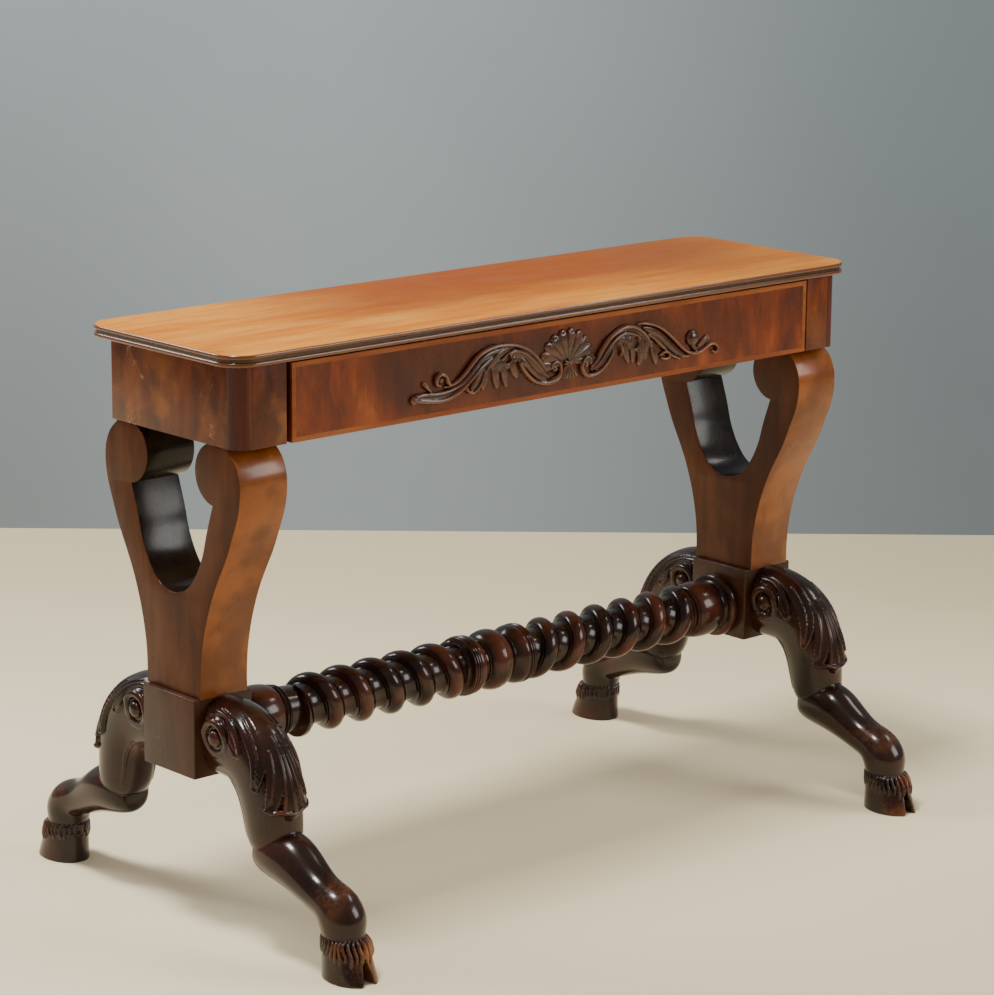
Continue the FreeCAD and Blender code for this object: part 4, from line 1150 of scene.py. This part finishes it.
# strokes of the acanthus leaf over (down the thigh, round from its crest): the smooth crest,
# then three fingers, each a hollow blade between raised rims, and the turned-out tip
leaf_strokes = [
    (0, [(-10, 0, 22, 2.6), (40, 0, 24, 3.2), (80, 0, 22, 4.2), (112, 0, 20, 5.2),
         (148, 0, 16, 6.4)]),
    (0.6, [(4, 27, 8, 3.5), (30, 31, 10.5, 6.4), (54, 38, 11, 8), (69, 46, 9, 7.8),
           (75, 50, 7, 7)]),
    (0, [(14, 29, 1.8, 3.6), (38, 33, 2.3, 5.2), (58, 41, 2.2, 5.6), (70, 47, 1.6, 4.6)]),
    (0.6, [(34, 13, 8, 4.5), (64, 18, 10.5, 7.4), (92, 28, 11, 9), (112, 39, 8.5, 9),
           (121, 45, 6.5, 8)]),
    (0, [(56, 17, 1.8, 4.6), (84, 25, 2.4, 6), (106, 36, 2.2, 6.4), (116, 42, 1.8, 5.6)]),
    (0.5, [(64, 5, 9, 5), (98, 11, 11.5, 8), (124, 19, 12, 9.6), (142, 28, 9, 9.6)]),
    (0, [(92, 14, 1.8, 6), (116, 20, 2.4, 7.6), (138, 28, 2.2, 8)]),
    (0, [(84, 4, 2, 5.4), (112, 7, 2.8, 7.6), (134, 10, 3, 8.8), (151, 14, 2.8, 9)]),
    (0, [(90, 0, 2, 5.4), (120, 0, 2.6, 7.2), (152, 0, 3, 9)]),
    (0, [(154, 0, 3.8, 9.8), (153, 9, 3.8, 9.6), (150, 19, 3.6, 9.4), (150, 28, 3.4, 8.8),
         (146, 36, 3, 8)]),
    # arris along the inner side, down to the knee
    (0, [(70, 100, 3, 0.6), (100, 99, 3.4, 1.6), (150, 97, 3.4, 1.8), (190, 94, 3, 0.8)]),
]

# (back from the toe's middle, height, half across, half width) up the hoof, in mm
hoof_shape = [(0, -14, 44.5, 33), (0, 0, 44, 32.5), (3, 15, 40.5, 31.5), (7, 34, 36, 30),
              (11, 50, 33, 29.5), (13, 56, 31.5, 28.5), (13.5, 60, 26, 24)]


def guide_ring(reach, height, lean, half_across, half_width, fullness):
    """Eight points of a cage round a limb, so that its smooth skin has these half widths."""
    grow = 3 / (2 + cos(pi / 4))
    across = Vector((0, cos(radians(lean)), sin(radians(lean)))) * half_across * grow * mm
    side = Vector((half_width * grow * mm, 0, 0))
    middle = Vector((0, reach, height))
    turns = [(1, 0), (fullness, fullness), (0, 1), (-fullness, fullness),
             (-1, 0), (-fullness, -fullness), (0, -1), (fullness, -fullness)]
    return [middle + across * a + side * b for a, b in turns]


def limb(rings):
    """Skin over a cage: circles put in place, bridged, capped and subdivided."""
    clear_selection()
    bpy.ops.mesh.primitive_circle_add(vertices=8, radius=10 * mm)
    piece = bpy.context.object
    edit(True)
    for _ in rings[1:]:
        bpy.ops.mesh.primitive_circle_add(vertices=8, radius=10 * mm)
    edit(False)
    for vertex, place in zip(piece.data.vertices, [place for ring in rings for place in ring]):
        vertex.co = place
    last = len(rings) - 1
    for chosen in [(k, k + 1) for k in range(last)] + [(0,), (last,)]:
        choose(piece, "EDGE", lambda edge: (edge.vertices[0] // 8 == edge.vertices[1] // 8
                                            and edge.vertices[0] // 8 in chosen))
        if len(chosen) == 2:
            bpy.ops.mesh.bridge_edge_loops()
        else:
            bpy.ops.mesh.edge_face_add()
        edit(False)
    apply_modifier(piece, "skin", "SUBSURF", levels=4, render_levels=4)
    tidy_mesh(piece, 60, 0.01 * mm)
    return piece


def leg_sections(shape, side):
    """Places of a thigh or shank section from its shares of the leg's sizes."""
    for out, down, lean, across, wide in shape:
        if shape is thigh_shape:
            yield (side + knee_reach * out, block_middle - (block_middle - knee_height) * down,
                   lean, across, wide)
        else:
            yield (side + leg_reach - (leg_reach - knee_reach) * out,
                   knee_height - (knee_height - hoof_height) * down, lean, across, wide)


def make_hoof(side):
    """Flared hoof with a cleft up the toe."""
    middle = side + leg_reach - hoof_half
    hoof = limb([guide_ring(middle - back * mm, height * mm, 0, half, wide, shank_fullness)
                 for back, height, half, wide in hoof_shape])
    cut_flat(hoof, (0, 0, 0), (0, 0, -1))
    clear_selection()
    toe = side + leg_reach + 6 * mm
    bpy.ops.mesh.primitive_cylinder_add(vertices=3, radius=1, depth=cleft_depth,
                                        location=(0, toe - cleft_depth / 2, 0))
    wedge = bpy.context.object
    corners = [(-cleft_width / 2, -1 * mm), (cleft_width / 2, -1 * mm), (0, hoof_height * 0.94)]
    for vertex in wedge.data.vertices:
        x, z = corners[(vertex.index // 2) % 3]
        vertex.co = (x, cleft_depth / 2 * (1 if vertex.index % 2 else -1), z)
    tidy_mesh(wedge)
    combine(hoof, wedge, "DIFFERENCE")
    return hoof


def make_drum():
    """Round core of the volute, as wide as the plank."""
    clear_selection()
    bpy.ops.mesh.primitive_cylinder_add(vertices=96, radius=volute_radius,
                                        depth=2 * (leg_half - volute_inset),
                                        location=(0, *volute_place), rotation=(0, pi / 2, 0))
    bpy.ops.object.transform_apply()
    return bpy.context.object


def smooth_step(values, low, high):
    t = np.clip((values - low) / (high - low), 0, 1)
    return t * t * (3 - 2 * t)


def thigh_chart(places, side):
    """Distance down the thigh and round it from its crest, for places on its skin."""
    line = np.array(curved([s[:2] for s in leg_sections(thigh_shape, side)], 8))
    steps = np.diff(line, axis=0)
    lengths = np.hypot(steps[:, 0], steps[:, 1])
    starts = np.concatenate([[0], np.cumsum(lengths)])
    x, y, z = places.T
    best = np.full(len(places), 9.0)
    down, rise = np.zeros(len(places)), np.zeros(len(places))
    for (a, b), (run, climb), length, start in zip(line, steps, lengths, starts):
        if length < 1e-6:
            continue
        t = np.clip(((y - a) * run + (z - b) * climb) / length, 0, length)
        off_y, off_z = y - a - t * run / length, z - b - t * climb / length
        away = np.hypot(off_y, off_z)
        closer = away < best
        best[closer] = away[closer]
        down[closer] = start + t[closer]
        rise[closer] = (off_z * run / length - off_y * climb / length)[closer]
    return down + thigh_shape[0][0] * knee_reach, np.arctan2(np.abs(x), rise) * thigh_radius


def volute_strokes():
    """The scroll's hood, arched over its round eye."""
    hood = [(21.8 * cos(radians(a)), 21.8 * sin(radians(a)), 5.2,
             5.6 * min(1.0, (a + 34) / 60, (232 - a) / 60)) for a in range(-28, 230, 18)]
    return [(0, hood), (0, [(0, 0, 11.8, 8), (0.4, 0, 11.8, 8)])]


def hair_strokes():
    """Locks of hair that hang over the hoof, over (round, up)."""
    chance = random.Random(7)
    strokes = []
    for i in range(lock_count):
        across = (i + 0.5) / lock_count * 180 - 90 + chance.uniform(-0.7, 0.7)
        front = max(0.0, 1 - abs(across) / 70)
        sway = 2.2 * sin(across / 11) + chance.uniform(-0.5, 0.5)
        end = 40 - 13 * front + chance.uniform(-4, 3)
        tall = 2 + 3.4 * front + chance.uniform(-0.4, 0.8)
        strokes.append((0, [(across, 57, 2.2, 2.2), (across + sway, 51, 2.7, tall),
                            (across + sway * 0.3, 44, 2.6, tall * 1.1),
                            (across - sway * 0.7, (44 + end) / 2, 2.3, tall),
                            (across - sway * 0.2, end, 1.2, 1.2)]))
    return strokes


def carve_leg(piece, side):
    """Cuts the leaf, the scroll and the hair into a smooth leg, and marks it for its finish."""
    places = corners_of(piece)
    normals = np.zeros(places.size)
    piece.data.vertex_normals.foreach_get("vector", normals)
    normals = normals.reshape(-1, 3)
    x, y, z = places.T
    sideways, forward, upward = normals.T
    down, around = thigh_chart(places, side)
    near_volute = np.hypot(y - volute_place[0], z - volute_place[1])
    on_cheek = (np.abs(sideways) > 0.7) & (near_volute < volute_radius + 0.6 * mm)
    leaf = np.maximum(relief(down, around, leaf_strokes), 0)
    leaf[(z < leaf_end) | on_cheek] = 0
    leaf *= smooth_step(y, side, side + 6 * mm)
    leaf *= 1 - 0.75 * smooth_step(near_volute, volute_radius + 6 * mm, volute_radius)
    roll = ((near_volute < volute_radius + 1.5 * mm) & (near_volute > volute_radius - 3 * mm)
            & (np.abs(sideways) < 0.5))
    flutes = np.where(roll, flute_height * np.cos(2 * pi * np.abs(x) / flute_width), 0)
    scroll = relief(y - volute_place[0], z - volute_place[1], volute_strokes())
    scroll = np.where((scroll < 0) & (near_volute < 18 * mm), volute_floor, np.maximum(scroll, 0))
    scroll[~on_cheek] = 0
    # the hair goes round the hoof, with its seam at the back, and not into the cleft
    middle = side + leg_reach - hoof_half - 9 * mm
    locks = relief(np.arctan2(x, y - middle) * hair_radius, z, hair_strokes())
    locks = np.maximum(locks, 0)
    in_cleft = ((y > middle + 6 * mm) & (np.abs(x) < cleft_width / 2 + 1 * mm)
                & (np.abs(sideways) > 0.8))
    locks[(z > hair_top) | (y < side + knee_reach) | (np.abs(upward) > 0.93) | in_cleft] = 0
    height = leaf + scroll + locks + flutes
    places += normals * height[:, None]
    places[:, 1] = np.clip(places[:, 1], side, None)
    places[:, 2] = np.maximum(places[:, 2], 0)
    move_corners(piece, places)
    above = (height - blurred(piece, height, 10)) / (3 * mm)
    # the finish is worn to bare wood on the fetlock and the front of the hoof
    fetlock = np.exp(-((y - side - fetlock_place[0]) ** 2 + (z - fetlock_place[1]) ** 2)
                     / (2 * fetlock_size ** 2))
    fetlock *= smooth_step(upward + forward * 0.6, 0.1, 0.7)
    out = np.clip((y - side) / leg_reach, 0, 1)
    hoof = smooth_step(z, hair_top, 50 * mm) * smooth_step(y, middle - 4 * mm, middle + 30 * mm)
    # from this height the finish paints shade in the low places and a highlight on the high ones
    mark(piece, "height", np.clip(0.5 + above, 0, 1))
    mark(piece, "bare", np.clip(fetlock * 0.7 + hoof * (0.6 + above), 0, 1) * out ** 0.2)


def make_legs():
    """One carved leg and its three mirror images."""
    low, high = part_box("right_block")
    side = high.y
    thigh = limb([guide_ring(*s, thigh_fullness) for s in leg_sections(thigh_shape, side)])
    cut_flat(thigh, (0, side, 0), (0, -1, 0))
    shank = limb([guide_ring(*s, shank_fullness) for s in leg_sections(shank_shape, side)])
    first = join([thigh, shank, make_hoof(side), make_drum()])
    apply_modifier(first, "fused", "REMESH", mode="VOXEL", voxel_size=leg_grain)
    apply_modifier(first, "eased", "SMOOTH", factor=0.5, iterations=3)
    carve_leg(first, side)
    apply_modifier(first, "thinned", "DECIMATE", ratio=leg_thinning)
    near_corner, far_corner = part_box("back_right_leg")
    centre = (low.x + high.x) / 2
    for name, x_sign, y_sign in (("back_right", 1, 1), ("front_right", 1, -1),
                                 ("back_left", -1, 1), ("front_left", -1, -1)):
        leg = first.copy()
        leg.data = first.data.copy()
        bpy.context.scene.collection.objects.link(leg)
        places = corners_of(leg)
        places[:, 0] = (places[:, 0] + centre) * x_sign
        places[:, 1] = np.minimum(places[:, 1], far_corner.y) * y_sign
        places[:, 2] = np.maximum(places[:, 2], near_corner.z)
        move_corners(leg, places)
        tidy_mesh(leg, 75, 0.001 * mm)
        settle(leg, name + "_leg_carved", "table", "dark_walnut", [name + "_leg"])
    bpy.data.objects.remove(first)


# ------------------------------------------------------------------ room
floor_size = 14.0
floor_edge = 6.75              # camera to the far edge of the floor
wall_size = 8.0
fill_colour = "#f0ebe4"
fill_strength = 0.4


def floor_paint_and_painted_light():
    """Warm matt paint with painted light: palest to the front left, darker far off and to the
    right.
    """
    material, add = start_material("floor_with_painted_light")
    place = add("place")
    axes = add("axes", place)
    # painted light: lighter near the front left, darker far off and to the right
    near = fade(add, "#fdefce", "#f1e2bc", axes["X"], -0.75, 0.2)
    far = fade(add, "#ddd1ab", "#c9bd97", axes["X"], 0.0, 1.0)
    shade = fade(add, near, far, axes["Y"], 5.5, 6.8)
    patch = add("noise", place, 1 / 0.6, 3.0, 0.55)
    shade = fade(add, shade, "#ddd1b4", patch, 0.3, 0.7, 0.15)
    close_material(add, shade, 0.8)
    return material


def fill_or_seen(add, glow, seen):
    """Even fill light, and another colour to the camera and in reflections."""
    rays = add("rays")
    share = add("larger", rays["Is Camera Ray"], rays["Is Glossy Ray"])
    share = add("larger", share, rays["Is Transmission Ray"])
    return add("either", share, add(glow, fill_colour, fill_strength), add(glow, seen, 1.0))


def wall_paint_and_painted_light():
    """Blue-grey paint, shown to the camera as a glow with painted light: a little lighter to the
    upper left, darker low down and to the right; it fills as the world does.
    """
    material, add = start_material("studio_wall_paint")
    place = add("place")
    axes = add("axes", place)
    # painted light: lighter to the upper left, darker low down and to the right
    across = add("spread", axes["X"], -0.45, 1.1)
    high = add("mix", across, "#b8bfc0", "#828b8d")
    low = fade(add, "#909591", "#a3a9a6", axes["X"], -1.0, -0.3)
    low = add("mix", across, low, "#777d7b")
    wash = fade(add, low, high, axes["Y"], 0.0, 1.6)
    patch = add("noise", place, 1 / 0.5, 3.0, 0.55)
    wash = fade(add, wash, "#8b9496", patch, 0.3, 0.7, 0.12)
    add("material", fill_or_seen(add, "glow", wash))
    return material


def add_plane(name, size, ahead, tilt, material):
    """A plane of the studio, this far ahead of the camera and square to its heading."""
    heading = Vector((sin(radians(camera_turn)), cos(radians(camera_turn)), 0))
    clear_selection()
    bpy.ops.mesh.primitive_plane_add(
        size=size, location=Vector(camera_place) * Vector((1, 1, 0)) + heading * ahead,
        rotation=(tilt, 0, -radians(camera_turn)))
    plane = bpy.context.object
    plane.name = name
    give(plane, material)


def add_world():
    """Neutral fill light, and a grey room where it is seen or reflected."""
    world = bpy.data.worlds.new("studio")
    bpy.context.scene.world = world
    world.use_nodes = True
    world.node_tree.nodes.clear()
    add = partial(node, world.node_tree)
    add("world", fill_or_seen(add, "sky", "#7d8686"))


# ------------------------------------------------------------------ the table and its room
for part in frame["record"]["subparts"]:
    give(frame["nodes"][part["node"]], finish[part["material_slot"]])
give(frame["nodes"]["drawer_back"], bare_wood("bare_poplar_back", poplar, "x"))

make_top()
for side in ("left", "right"):
    make_corner_post(side)
    board(side + "_end_panel", "walnut_case")
    board(side + "_front_stile", "walnut_case")
    make_lyre(side)
    board(side + "_block", "walnut_block", 1.4 * mm)
make_stretcher()
make_drawer_carving()
make_legs()

add_camera()
for name, settings in lights.items():
    add_light(name, *settings)
add_plane("studio_floor", floor_size, floor_edge - floor_size / 2, 0, floor_paint_and_painted_light())
add_plane("studio_wall", wall_size, floor_edge, pi / 2, wall_paint_and_painted_light())
add_world()
